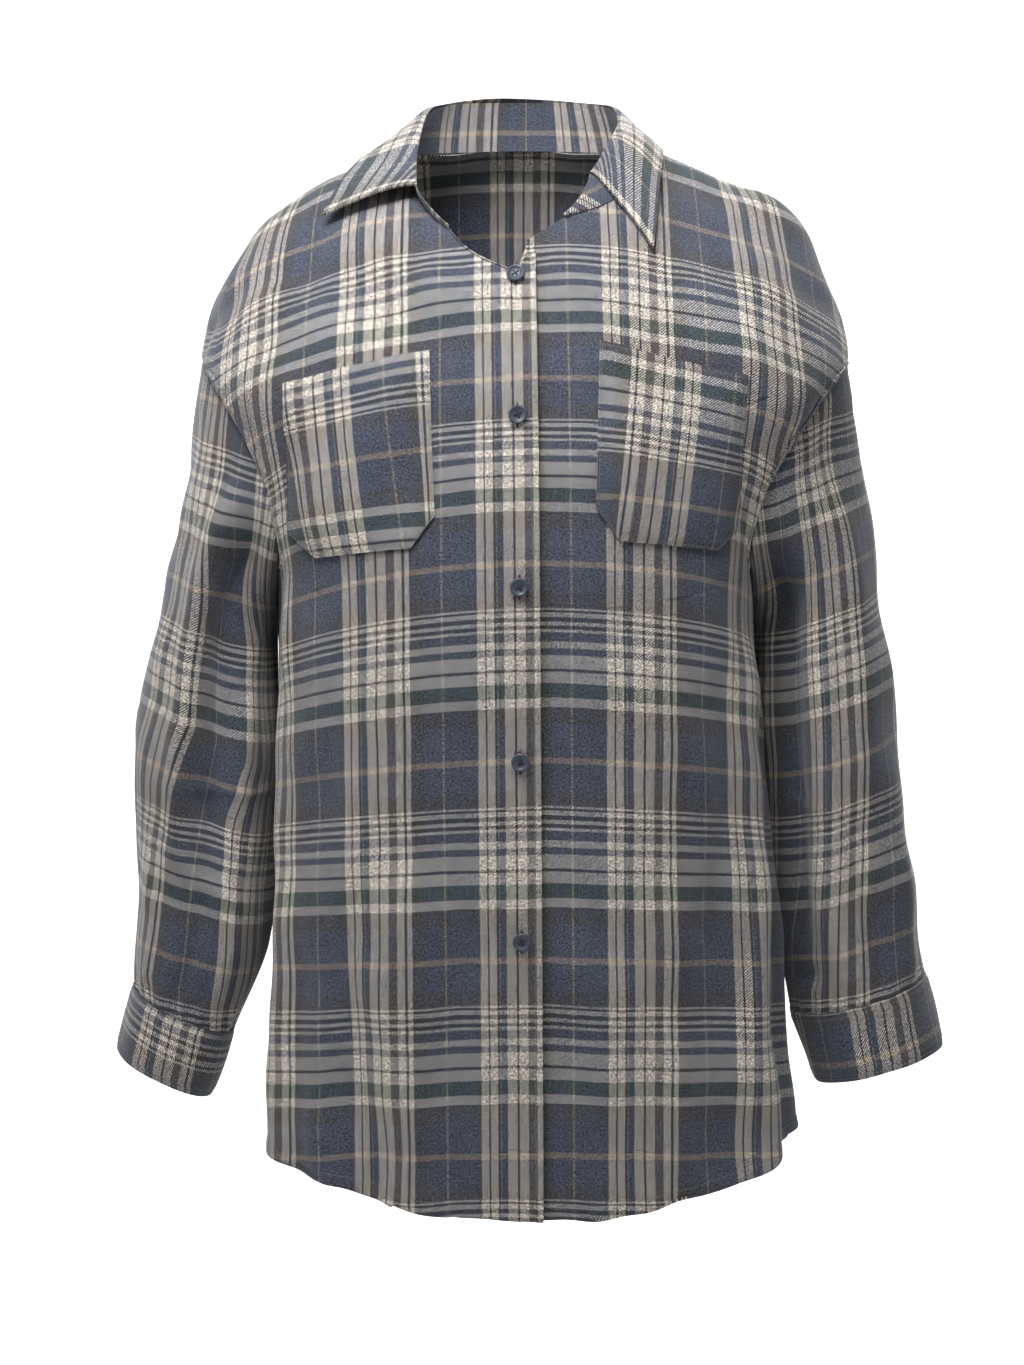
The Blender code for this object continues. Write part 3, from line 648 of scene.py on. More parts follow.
def stitches(name, runs, material):
    """Lockstitches along runs of (points, normals), each a small spindle lying in the cloth."""
    points, faces, done = [], [], 0
    turns = 2 * np.pi * np.arange(STITCH_SIDES) / STITCH_SIDES
    for path, normals in runs:
        gone = run_length(path)
        at = np.arange(STITCH_PITCH, gone[-1] - STITCH_PITCH, STITCH_PITCH)
        centre = follow(gone, path, at)
        up = unit(follow(gone, normals, at))
        ahead = unit(follow(gone, path, at + STITCH_LONG / 2) - centre)
        aside = unit(np.cross(ahead, up))
        for share, size in STITCH_RINGS:
            ring = centre + ahead * share * STITCH_LONG + up * STITCH_RADIUS * (size - STITCH_SUNK)
            points += [ring + (np.cos(w) * aside + np.sin(w) * up) * STITCH_RADIUS * size for w in turns]
        count = len(at)
        for ring in range(len(STITCH_RINGS) - 1):
            for k in range(STITCH_SIDES):
                first = done + (ring * STITCH_SIDES + k) * count + np.arange(count)
                second = done + (ring * STITCH_SIDES + (k + 1) % STITCH_SIDES) * count + np.arange(count)
                next_ring = STITCH_SIDES * count
                faces.append(np.stack([first, second, second + next_ring, first + next_ring], 1))
        done += len(STITCH_RINGS) * STITCH_SIDES * count
    link(name, mesh_from(name, np.concatenate(points), np.concatenate(faces)), material)


# ---- materials ----

class Tree:
    """A material's nodes, added one at a time."""

    def __init__(self, name, **uniform):
        self.material = bpy.data.materials.new(name)
        self.material.use_nodes = True
        self.nodes = self.material.node_tree.nodes
        self.links = self.material.node_tree.links
        self.shader = self.nodes["Principled BSDF"]
        for socket, value in uniform.items():
            self.shader.inputs[socket.replace("_", " ")].default_value = value

    def put(self, value, socket):
        if isinstance(value, bpy.types.NodeSocket):
            self.links.new(value, socket)
        elif value is not None:
            socket.default_value = value

    def math(self, operation, first, second=None, clamp=False):
        node = self.nodes.new("ShaderNodeMath")
        node.operation, node.use_clamp = operation, clamp
        self.put(first, node.inputs[0])
        self.put(second, node.inputs[1])
        return node.outputs[0]

    def plus(self, first, second, clamp=False):
        return self.math("ADD", first, second, clamp)

    def times(self, first, second):
        return self.math("MULTIPLY", first, second)

    def noise(self, vector, scale, detail=2.0, rough=0.55):
        node = self.nodes.new("ShaderNodeTexNoise")
        self.put(vector, node.inputs["Vector"])
        for socket, value in (("Scale", scale), ("Detail", detail), ("Roughness", rough)):
            node.inputs[socket].default_value = value
        return node.outputs[0]

    def mix(self, share, first, second, blend="MIX"):
        node = self.nodes.new("ShaderNodeMix")
        node.data_type, node.blend_type = "RGBA", blend
        self.put(share, node.inputs[0])
        self.put(first, node.inputs[6])
        self.put(second, node.inputs[7])
        return node.outputs[2]

    def stripes(self, position, repeat, sett):
        """The sett's yarn colour at a position in metres, over and over."""
        ramp = self.nodes.new("ShaderNodeValToRGB")
        ramp.color_ramp.interpolation = "CONSTANT"
        self.put(self.math("FRACT", self.math("DIVIDE", position, repeat)), ramp.inputs[0])
        stops = ramp.color_ramp.elements
        total = sum(width for _, width in sett)
        done = 0.0
        for number, (yarn, width) in enumerate(sett):
            stop = stops[number] if number < 2 else stops.new(done / total)
            stop.position = done / total
            stop.color = (*[channel ** (1 / NAP_GAMMA) for channel in YARNS[yarn]], 1)
            done += width
        return ramp.outputs[0]

    def bump(self, height, strength, distance):
        node = self.nodes.new("ShaderNodeBump")
        node.inputs["Strength"].default_value = strength
        node.inputs["Distance"].default_value = distance
        self.put(height, node.inputs["Height"])
        self.put(node.outputs[0], self.shader.inputs["Normal"])


STRAY, STRAY_SCALES = 0.0011, (900, 760)  # how far yarns stray, and the noise's scales per metre
SKEW = 0.4  # of the stray, in the twill's line
RIB_SHARP, RIB_LEAN, RIB_SHARE = 2.2, 0.58, 0.86
HAIR_SHARE, HAIR_LEVEL = 2.3, -1.09
MOTTLE_SHARE, SLUB_SHARE, CLOUD_SHARE, MOTTLE_LEVEL = 5.0, 0.6, 0.4, -2.0
DARKEST = 0.3
FLUFF_LEVEL, FLUFF_SHARE, FLUFF_COLOUR = -0.48, 0.9, (0.46, 0.44, 0.42, 1)


def flannel(name):
    """Yarn-dyed 2/2 twill with a brushed nap, read from the cut coordinates."""
    tree = Tree(name, Roughness=0.93, Specular_IOR_Level=0.12, Sheen_Weight=0.32, Sheen_Roughness=0.5)
    cut = tree.nodes.new("ShaderNodeUVMap")
    cut.uv_map = "Cut"
    place = cut.outputs[0]
    split = tree.nodes.new("ShaderNodeSeparateXYZ")
    tree.put(place, split.inputs[0])
    u, v = split.outputs[0], split.outputs[1]

    # The nap blurs each stripe's edge by a fraction of a millimetre.
    stray_u, stray_v = (
        tree.times(tree.plus(tree.noise(place, scale, 3.0), -0.5), STRAY) for scale in STRAY_SCALES
    )
    warp = tree.stripes(tree.plus(u, stray_u), WARP_REPEAT, WARP)
    weft = tree.stripes(tree.plus(v, stray_v), WEFT_REPEAT, WEFT)

    diagonal = tree.math("DIVIDE", tree.plus(tree.plus(u, v), tree.times(stray_u, SKEW)), TWILL)
    rib = tree.math("SINE", tree.times(diagonal, 2 * math.pi))
    over = tree.plus(tree.times(rib, RIB_SHARP), RIB_LEAN, clamp=True)
    hairs = tree.noise(place, 1000, 4.0, 0.75)
    over = tree.plus(tree.times(over, RIB_SHARE), tree.times(hairs, HAIR_SHARE))
    over = tree.plus(over, HAIR_LEVEL, clamp=True)
    decode = tree.nodes.new("ShaderNodeGamma")
    decode.inputs["Gamma"].default_value = NAP_GAMMA
    tree.put(tree.mix(over, weft, warp), decode.inputs["Color"])

    # Heathered yarn, a mottled nap, and slow unevenness from wear.
    mottle = tree.noise(place, 640, 3.0, 0.7)
    slub = tree.noise(place, 95)
    cloud = tree.noise(place, 16)
    level = tree.plus(tree.times(mottle, MOTTLE_SHARE), tree.times(slub, SLUB_SHARE))
    level = tree.plus(tree.plus(level, tree.times(cloud, CLOUD_SHARE)), MOTTLE_LEVEL)
    level = tree.math("MAXIMUM", level, DARKEST)
    grey = tree.nodes.new("ShaderNodeCombineColor")
    for socket in grey.inputs[:3]:
        tree.put(level, socket)
    colour = tree.mix(1.0, decode.outputs[0], grey.outputs[0], "MULTIPLY")
    fluff = tree.plus(tree.noise(place, 1300, 3.0, 0.7), FLUFF_LEVEL, clamp=True)
    colour = tree.mix(tree.times(fluff, FLUFF_SHARE), colour, FLUFF_COLOUR)
    tree.put(colour, tree.shader.inputs["Base Color"])
    height = tree.plus(tree.times(rib, 0.22), tree.times(hairs, 0.9))
    tree.bump(tree.plus(height, tree.times(mottle, 0.8)), 0.55, 0.0004)
    return tree.material


def resin(name):
    """Moulded slate-navy resin with a faint cloud and fine turning marks."""
    tree = Tree(name)
    place = tree.nodes.new("ShaderNodeTexCoord").outputs["Object"]
    colour = tree.mix(tree.noise(place, 420, 3.0), (0.044, 0.054, 0.082, 1), (0.090, 0.102, 0.136, 1))
    tree.put(colour, tree.shader.inputs["Base Color"])
    rough = tree.plus(tree.times(tree.noise(place, 1500), 0.22), 0.26)
    tree.put(rough, tree.shader.inputs["Roughness"])
    tree.bump(tree.noise(place, 2600), 0.12, 0.0001)
    return tree.material


def thread(name, colour):
    """Spun sewing thread: twisted, slightly glossy."""
    tree = Tree(name, Roughness=0.7, Sheen_Weight=0.2)
    twist = tree.noise(tree.nodes.new("ShaderNodeTexCoord").outputs["Object"], 3200)
    dim = [0.6 * channel for channel in colour]
    tree.put(tree.mix(twist, (*dim, 1), (*colour, 1)), tree.shader.inputs["Base Color"])
    tree.bump(twist, 0.4, 0.0001)
    return tree.material


# ---- the plaid's place on each piece ----

ARC_SAMPLES, ARC_BEFORE, ARC_REACH = 241, 0.3, 1.2  # the last two in a
SLOPE_ENDS = 0.36  # t where the rings no longer tip back


def ring_arc(a, t, start_a, way):
    """Cloth length round each row's ring from start_a to a, on the side that way is towards.

    Towards the neck the rings tip back, and the yarns run up the slope instead of round it, so
    there the depth counts for less.
    """
    made = np.empty(a.shape)
    for row, (start, height) in enumerate(zip(start_a, t[:, 0])):
        line = np.linspace(start - ARC_BEFORE * way, start + ARC_REACH * way, ARC_SAMPLES)
        step = np.diff(torso_base(line, np.full(ARC_SAMPLES, height)), axis=0)
        length = np.sqrt(step[:, 0] ** 2 + ease(height / SLOPE_ENDS) * step[:, 1] ** 2)
        gone = np.concatenate([[0], np.cumsum(length)])
        here, there = (np.interp(way * at, way * line, gone) for at in (start, a[row]))
        made[row] = (there - here) * way
    return made


def weft_place(z, away):
    """v for a height on the torso, away from centre along the ring."""
    near = np.minimum(np.abs(away), DROOP_LIMIT)
    level = z + np.interp(z, *zip(*DROOP)) * (near / DROOP_AT) ** 2
    return carry_on(level, GREEN_Z[::-1], range(len(GREEN_Z))[::-1]) * WEFT_REPEAT + GREEN_MIDDLE


def torso_cut(a, t, u, away):
    return np.stack([u, weft_place(torso_base(a, t)[..., 2], away)], -1)


def front_cut(side, a, t):
    """u and v on a front, from its own closed edge."""
    away = ring_arc(a, t, a_at_x(edge_x(t[:, 0]), t[:, 0]), SIGN[side])
    return torso_cut(a, t, FRONT_WARP_START[side] + away, away)


def back_cut(a, t):
    start = np.full(len(a), 2.0)
    away = ring_arc(np.minimum(a, 2.0), t, start, -1) + ring_arc(np.maximum(a, 2.0), t, start, 1)
    return torso_cut(a, t, BACK_WARP_START - away, away)


# ---- the torso's pieces ----

HEM_DEEP, HEM_LIFT, HEM_SOFT = 0.0078, 0.0008, 0.0016
HEM_GROOVE_IN, HEM_GROOVE_WIDE, HEM_GROOVE_DEEP = 0.0008, 0.0009, 0.0004
WELT_WIDE, WELT_LIFT, WELT_SOFT = 0.0075, 0.0011, 0.0012  # along the armhole
EDGE_WIDE, EDGE_SOFT, EDGE_LIFT = 0.0035, 0.0020, 0.0012  # the front's turned edge
TURNED_THICK, BACK_TURNED_THICK = 0.0010, 0.0008
LAP_SINK = 1.7  # how much deeper than the solids the left front dips
CALM, CALM_WIDE = 0.6, 0.12  # less rumple beside the sleeves, and how far in a
FRONT_COLUMNS, FRONT_CROWD, BACK_COLUMNS = 104, 0.55, 150
HEM_ROWS_FROM = HEM - 0.014


def fine_rows(above=46, beside=52, below=104, hem=14, opening=8):
    """t for each row, closer together at the hem."""
    high = NECK + GAP + (TIP - NECK - GAP) * np.linspace(0, 1, above + 1)
    hole = TIP + (UNDERARM - TIP) * (1 - np.cos(np.linspace(0, np.pi, beside + 1))) / 2
    low = np.linspace(UNDERARM, HEM_ROWS_FROM, below + 1)
    rows = [high[:-1], V_BOTTOM * np.linspace(0.1, 1.0, opening), hole[:-1], low[:-1]]
    return np.sort(np.concatenate([*rows, np.linspace(HEM_ROWS_FROM, HEM, hem + 1)]))


def draped(a, t, lift=0.0):
    """Points of the cloth's outer face with their normals."""
    base, normal = torso(a, t), torso_normal(a, t)
    rise = rumple(base) * (1 - CALM * bell(np.abs(a) - 1, CALM_WIDE) * (t > TIP)) + lift
    return base + rise[..., None] * normal, normal


def panel_relief(t, armhole_reach):
    """The turned hem and the welt along the armhole, which stand a layer higher."""
    groove = bell(HEM - t - HEM_DEEP + HEM_GROOVE_IN, HEM_GROOVE_WIDE)
    inside = (t > TIP) & (t < UNDERARM)
    welt = band(armhole_reach, WELT_WIDE, WELT_SOFT) * inside
    return HEM_LIFT * band(HEM - t, HEM_DEEP, HEM_SOFT) - HEM_GROOVE_DEEP * groove + WELT_LIFT * welt


def front(side, cloth):
    rows = fine_rows()
    inner_edge = front_edge(rows, side)[:, None]
    outer_edge = SIGN[side] * (outer_a(rows, FRONT_BITE) - SEAM_A)[:, None]
    a = inner_edge + (outer_edge - inner_edge) * spread(FRONT_COLUMNS, FRONT_CROWD)
    t = np.broadcast_to(rows[:, None], a.shape)
    reach = run_length(torso_base(a, t), 1)
    edge = band(reach, EDGE_WIDE, EDGE_SOFT)
    own = EDGE_LIFT * edge if side == "right" else -LAP_SINK * lap_sink(a, t)
    points, normal = draped(a, t, panel_relief(t, reach[:, -1:] - reach) + own)
    thick = CLOTH + TURNED_THICK * (band(HEM - t, HEM_DEEP, HEM_SOFT) + edge)
    cut = front_cut(side, a, t)
    piece("front_" + side, "flannel", points, points - thick[..., None] * normal, cut, cloth,
          flat=(0.31, 0.80), held="draped", area=0.198)


def back(cloth):
    rows = fine_rows()
    half_width = outer_a(rows, BACK_BITE) - SEAM_A
    a = 2 + half_width[:, None] * np.linspace(-1, 1, BACK_COLUMNS + 1)
    t = np.broadcast_to(rows[:, None], a.shape)
    reach = run_length(torso_base(a, t), 1)
    points, normal = draped(a, t, panel_relief(t, np.minimum(reach, reach[:, -1:] - reach)))
    thick = CLOTH + BACK_TURNED_THICK * band(HEM - t, HEM_DEEP, HEM_SOFT)
    piece("back", "flannel", points, points - thick[..., None] * normal, back_cut(a, t), cloth,
          flat=(0.62, 0.80), held="draped", area=0.40)


POCKET_CUT = {"right": (0.0650, 0.1438), "left": (0.09775, 0.0441)}  # u and v, upper inner corner
POCKET_ACROSS, POCKET_DOWN = 0.12, 0.139
PILLOW, PILLOW_WIDE = 0.0010, 0.012
POCKET_SEAM_DEEP, POCKET_SEAM_IN, POCKET_SEAM_WIDE = 0.0005, 0.0016, 0.0008
MOUTH_LIFT, MOUTH_DEEP, MOUTH_SOFT, MOUTH_ENDS = 0.0012, 0.010, 0.02, 0.004


def pocket_place(side, across, down):
    """(a, t) on a front for shares across and down its pocket, and the share down past the bevel."""
    x, z, width, height, droop, side_lean = POCKETS[side]
    near_corner = np.clip(1 - np.minimum(across, 1 - across) / POCKET_BEVEL_WIDE, 0, 1)
    cut_down = down * (1 - POCKET_BEVEL_HIGH * near_corner)
    a, t = place_on_front(
        x + SIGN[side] * width * across + side_lean * cut_down,
        z - droop * across**POCKET_SAG - height * cut_down * (1 - POCKET_SHORTER * across),
    )
    return a, t, cut_down


def pocket_lift(side, a, t, own):
    """How far a pocket's face stands off its front's base."""
    return POCKET_LIFT + CLOTH + own - (lap_sink(a, t) if side == "left" else 0)


def pocket(side, cloth, columns=70, rows=84, crowd=0.4):
    across, down = np.meshgrid(spread(columns, crowd), spread(rows, crowd))
    a, t, cut_down = pocket_place(side, across, down)
    u0, v0 = POCKET_CUT[side]
    width = run_length(torso_base(a, t), 1)
    cut = np.stack([u0 - SIGN[side] * width, v0 - POCKET_DOWN * cut_down], -1)
    rim = np.minimum(across, 1 - across) * POCKET_ACROSS
    rim = np.minimum(rim, np.minimum(cut_down, 1 - down) * POCKET_DOWN)
    own = PILLOW * ease(rim / PILLOW_WIDE)
    own = own - POCKET_SEAM_DEEP * bell(rim - POCKET_SEAM_IN, POCKET_SEAM_WIDE)
    own = own + MOUTH_LIFT * band(cut_down * POCKET_DOWN, MOUTH_DEEP, MOUTH_SOFT) * ease(rim / MOUTH_ENDS)
    points, normal = draped(a, t, pocket_lift(side, a, t, own))
    piece("pocket_" + side, "pocket", points, points - CLOTH * normal, cut, cloth,
          flat=(0.125, 0.145), held="draped", area=0.015, rests_on=["shirt_front_" + side])


# ---- sleeves and cuffs ----

SLEEVE_RADIUS = 0.065  # for the creases' widths
CREASE_END = 0.05  # a share of the sleeve's length
CREASE_LEAST, CREASE_RISE, CREASE_INSET = 0.35, 1.3, 0.04
RELIEF_FROM, RELIEF_TO, RELIEF_AT_CUFF = 0.10, 0.06, 0.25
SEAM_BLEND = 0.16  # the wall turns from the armhole's facing over this share
SEAM_DEEP, SEAM_WIDE, RUMPLE_FROM = 0.0006, 0.006, 0.05
GATHER, GATHERS, GATHER_SWAY, SWAYS, GATHER_LONG = 0.0009, 17, 1.2, 3, 0.10
INNER_ANGLE, INNER_CALM, INNER_CALM_WIDE = 190, 0.75, 35  # where the sleeve lies on the body
INNER_PROUD, INNER_WIDE, INNER_FROM, INNER_TO, INNER_SOFT = 0.0028, 26, 0.1, 0.86, 0.2
CUFF_LONG, CUFF_DEEP = 0.054, 0.056  # along its wall, and of its cloth
CUFF_SWELL, CUFF_SWELL_IN = 0.0009, 0.006
CUFF_GROOVE_DEEP, CUFF_GROOVE_IN, CUFF_GROOVE_WIDE = 0.0005, 0.004, 0.0009
CUFF_CALM = 0.8
CUFF_WEFT_START = {"right": 0.137, "left": 0.035}
CUFF_FLAT = {"right": (0.285, 0.056), "left": (0.31, 0.062)}


def sleeve_relief(side, angle, share):
    """Height of the sleeve's creases at angles by shares of its length."""
    total = np.zeros((len(share), len(angle)))
    along = share[:, None]
    for top_angle, top, end_angle, end, half_width, height in SLEEVE_CREASES[side]:
        down = np.clip((along - top) / (end - top), 0, 1)
        line = top_angle + (end_angle - top_angle) * down
        reach = SLEEVE_RADIUS * np.radians((angle - line + 180) % 360 - 180)
        beyond = np.maximum(np.maximum(top - along, along - end), 0) / CREASE_END
        swell = np.sin(np.pi * np.clip(down, CREASE_INSET, 1 - CREASE_INSET))
        fade = ease(1 - beyond) * np.clip(CREASE_LEAST + CREASE_RISE * swell, 0, 1)
        total = total + height * fade * bell(reach, half_width)
    return total * ease(along / RELIEF_FROM) * (
        RELIEF_AT_CUFF + (1 - RELIEF_AT_CUFF) * ease((1 - along) / RELIEF_TO)
    )


def round_again(points):
    """A tube's grid with its first column once more at the end."""
    return np.concatenate([points, points[:, :1]], 1)


def sleeve_cut(side, points):
    """u and v round a sleeve, from its outer line."""
    ring = round_again(points)
    x, z = SIGN[side] * ring[..., 0], ring[..., 2]
    middle = (x.max(1, keepdims=True) + x.min(1, keepdims=True)) / 2
    drop = -z + np.interp(z, *zip(*SLEEVE_TILT)) * (x - middle)
    greens = SLEEVE_GREEN[side]
    start = np.interp(z.mean(1, keepdims=True), *zip(*SLEEVE_WARP[side]))
    v = carry_on(drop, greens, range(len(greens))) * WEFT_REPEAT + GREEN_MIDDLE
    return np.stack([start - SIGN[side] * run_length(ring, 1), v], -1)


def sleeve(side, cloth, rows=170, columns=130):
    angle = np.arange(columns) * 360 / columns
    share = np.linspace(0, 1, rows + 1)
    along = share[:, None]
    form = sleeve_grid(side, angle, share)
    seam_share = ease(along / SEAM_BLEND)[..., None]
    seam = armhole_ring(side, angle)[1]
    normal = unit(seam * (1 - seam_share) + grid_normals(form, SIGN[side]) * seam_share)
    radians = np.radians(angle)
    gather = GATHER * np.sin(radians * GATHERS + GATHER_SWAY * np.sin(radians * SWAYS))
    calm = 1 - INNER_CALM * bell(angle - INNER_ANGLE, INNER_CALM_WIDE)
    lift = (sleeve_relief(side, angle, share) + rumple(form) * ease(along / RUMPLE_FROM)) * calm
    near_body = ease(along / INNER_FROM) * ease((INNER_TO - along) / INNER_SOFT)
    lift = lift + INNER_PROUD * bell(angle - INNER_ANGLE, INNER_WIDE) * near_body
    lift = lift - SEAM_DEEP * bell(along, SEAM_WIDE)
    lift = lift + gather * ease((along - 1 + GATHER_LONG) / GATHER_LONG)
    points = form + lift[..., None] * normal
    cut = sleeve_cut(side, form)
    piece("sleeve_" + side, "flannel", points, points - CLOTH * normal, cut, cloth, closed=True,
          flat=(0.46, 0.50), held="draped", area=0.172)


def cuff_surface(side, angle, share):
    points = cuff_grid(side, angle, share)
    normal = grid_normals(points, SIGN[side])
    edge = np.minimum(share, 1 - share)[:, None] * CUFF_LONG
    swell = CUFF_PROUD + CUFF_SWELL * ease(edge / CUFF_SWELL_IN)
    swell = swell - CUFF_GROOVE_DEEP * bell(edge - CUFF_GROOVE_IN, CUFF_GROOVE_WIDE)
    return points + (swell + rumple(points) * CUFF_CALM)[..., None] * normal, normal


def cuff(side, cloth, rows=44, columns=120, crowd=0.4):
    angle = np.arange(columns) * 360 / columns
    points, normal = cuff_surface(side, angle, spread(rows, crowd))
    arc = run_length(round_again(points), 1)
    down = np.linspace(0, CUFF_DEEP, rows + 1)[:, None] * np.ones_like(arc)
    cut = np.stack([CUFF_WARP[side] - SIGN[side] * arc, CUFF_WEFT_START[side] + SIGN[side] * down], -1)
    piece("cuff_" + side, "flannel", points, points - FIRM * normal, cut, cloth, closed=True,
          flat=CUFF_FLAT[side], held="draped")


# ---- collar ----

STAND_LOW, STAND_IN, STAND_BOW = 0.0006, 0.0003, 0.0012
STAND_CUT, LEAF_CUT = (0.055, 0.058), (0.0688, 0.040)  # u and v where each starts
LEAF_LONG, LEAF_SEAM_IN, LEAF_SEAM_WIDE, LEAF_SEAM_DEEP = 0.062, 0.005, 0.0011, 0.0005
LEAF_CALM = 0.5
LEAF_COLUMNS, LEAF_ROWS = 300, 56


def stand_surface(count, rows):
    first, last = COLLAR[0][0], COLLAR[-1][0]
    a = np.linspace(RIGHT_END, LEFT_END - 4, count)
    held = np.clip(a, last, first)
    neck, out = neck_frame(a)
    past = np.abs(a - held)[:, None]
    share_left = 1 - (1 - STAND_END_SHARE) * np.minimum(past / STAND_TAPER, 1)
    rise = (collar_line(held)[0] - neck_frame(held)[0]) * share_left
    start = np.array([0, 0, -STAND_LOW]) - STAND_IN * out
    share = np.linspace(0, 1, rows + 1)[:, None, None]
    return neck + start + (rise - start) * share + STAND_BOW * np.sin(np.pi * share) * out, out


def collar_stand(cloth, columns=260, rows=14):
    outer, out = stand_surface(columns + 1, rows)
    u = np.broadcast_to(STAND_CUT[0] + run_length(outer[0]), outer.shape[:2])
    v = STAND_CUT[1] + np.linalg.norm(outer - outer[:1], axis=-1)
    piece("collar_stand", "collar", outer, outer - FIRM / 2 * out, np.stack([u, v], -1), cloth,
          flat=(0.44, 0.034), held="draped", area=0.0134)


def leaf_surface(columns, rows):
    a = np.linspace(COLLAR[0][0], COLLAR[-1][0], columns + 1)
    roll, edge = collar_line(a)
    out = neck_frame(a)[1]
    start = roll + np.array([0, 0, LEAF_CLEAR]) - LEAF_IN * out
    top = roll + out * ROLL + np.array([0, 0, ROLL_HIGH])
    share = np.linspace(0, 1, rows + 1)[:, None, None]
    outer = (1 - share) ** 2 * start + 2 * share * (1 - share) * top + share**2 * edge
    face = unit(np.cross(np.gradient(outer, axis=0), np.gradient(outer, axis=1)))
    face = np.where(face[..., 2:] < 0, -face, face)
    from_edge = (1 - share[..., 0]) * LEAF_LONG
    lift = LEAF_CALM * rumple(outer) - LEAF_SEAM_DEEP * bell(from_edge - LEAF_SEAM_IN, LEAF_SEAM_WIDE)
    return outer + lift[..., None] * face, face


def collar_leaf(cloth):
    outer, face = leaf_surface(LEAF_COLUMNS, LEAF_ROWS)
    u = np.broadcast_to(LEAF_CUT[0] + run_length(outer[LEAF_ROWS // 2]), outer.shape[:2])
    across = run_length(outer)
    v = LEAF_CUT[1] + across - across[-1:]
    piece("collar_leaf", "collar", outer, outer - FIRM * face, np.stack([u, v], -1), cloth,
          flat=(0.44, 0.066), held="folded", area=0.0257)


# ---- buttons, buttonholes and stitching ----

BUTTON_PROFILE = (  # radius and height shares, from the back's middle round to the face's
    (0.0, 0.0), (0.78, 0.0), (0.96, 0.22), (1.0, 0.5), (0.97, 0.82), (0.88, 1.0), (0.78, 0.98),
    (0.70, 0.82), (0.62, 0.66), (0.30, 0.60), (0.0, 0.60),
)
DISH = BUTTON_PROFILE[-1][1]  # height share of the dished middle
BUTTON_SIDES, HOLE_SIDES = 48, 16
HOLE_RADIUS, HOLE_OFFSET, DRILL_LONG = 0.00085, 0.00150, 0.01
BUTTON_SEED, BUTTON_TILT, BUTTON_SPIN, BUTTON_SEAT = 5, 0.05, 0.4, 0.0011
THREAD_RADIUS, THREAD_PITCH, THREAD_THICK, THREAD_CLEAR = 0.00018, 0.00022, 0.0004, 0.0001
THREAD_ARCH = np.array([0.35, 0.7, 0.9, 1.0, 1.0, 1.0, 0.9, 0.7, 0.35]) * THREAD_THICK - THREAD_THICK / 2
BUTTONHOLE_HALF, BUTTONHOLE_WIDE, BUTTONHOLE_LIFT, BUTTONHOLE_CORD = 0.0088, 0.0007, 0.0003, 0.0004
BUTTONHOLE_POINTS, BUTTONHOLE_BLUNT = 48, 0.5


def button_blank():
    """A turned disc with a raised rim."""
    bm = bmesh.new()
    rings = []
    for radius, height in BUTTON_PROFILE:
        turns = 2 * np.pi * np.arange(BUTTON_SIDES if radius else 1) / BUTTON_SIDES
        reach, z = BUTTON_RADIUS * radius, height * BUTTON_THICK
        rings.append([bm.verts.new((reach * math.cos(w), reach * math.sin(w), z)) for w in turns])
    for low, high in zip(rings, rings[1:]):
        for k in range(BUTTON_SIDES):
            m = (k + 1) % BUTTON_SIDES
            corners = [low[k % len(low)], low[m % len(low)], high[m % len(high)], high[k % len(high)]]
            bm.faces.new(list(dict.fromkeys(corners)))
    bmesh.ops.recalc_face_normals(bm, faces=bm.faces[:])
    return bm


def button_drills():
    bm = bmesh.new()
    for x in (-HOLE_OFFSET, HOLE_OFFSET):
        for y in (-HOLE_OFFSET, HOLE_OFFSET):
            made = bmesh.ops.create_cone(
                bm, cap_ends=True, segments=HOLE_SIDES, depth=DRILL_LONG,
                radius1=HOLE_RADIUS, radius2=HOLE_RADIUS,
            )
            bmesh.ops.translate(bm, verts=made["verts"], vec=(x, y, 0))
    return bm


def button_mesh():
    """A button with its four holes drilled."""
    helpers = []
    for name, bm in (("button_blank", button_blank()), ("button_drill", button_drills())):
        mesh = bpy.data.meshes.new(name)
        bm.to_mesh(mesh)
        bm.free()
        helpers.append(add(name, mesh))
    blank, drill = helpers
    blank.modifiers.new("holes", "BOOLEAN").object = drill
    bpy.context.view_layer.update()
    drilled = bpy.data.meshes.new_from_object(blank.evaluated_get(bpy.context.evaluated_depsgraph_get()))
    for helper in helpers:
        bpy.data.objects.remove(helper)
    return drilled


def button_seat(z):
    """Where a button at a height lies, with the cloth's normal there."""
    t = np.interp([-z], -TORSO_TABLE[:, 5], TORSO_TABLE[:, 0])
    points, normals = draped(a_at_x(edge_x(t) - BUTTON_IN, t), t)
    return points[0], normals[0]


def tube(name, path, radius, material, sides=6):
    """A closed round cord through a loop of points."""
    ahead = unit(np.roll(path, -1, 0) - np.roll(path, 1, 0))
    side = unit(np.cross(ahead, ahead.mean(0) + np.array([0.3, -1.0, 0.2])))
    up = np.cross(side, ahead)
    turns = 2 * np.pi * np.arange(sides) / sides
    points = np.concatenate([path + radius * (math.cos(w) * side + math.sin(w) * up) for w in turns])
    n = np.arange(len(path))
    after = (n + 1) % len(path)
    faces = []
    for k in range(sides):
        low, high = k * len(path), (k + 1) % sides * len(path)
        faces.append(np.stack([low + n, low + after, high + after, high + n], 1))
    link(name, mesh_from(name, points, np.concatenate(faces)), material)


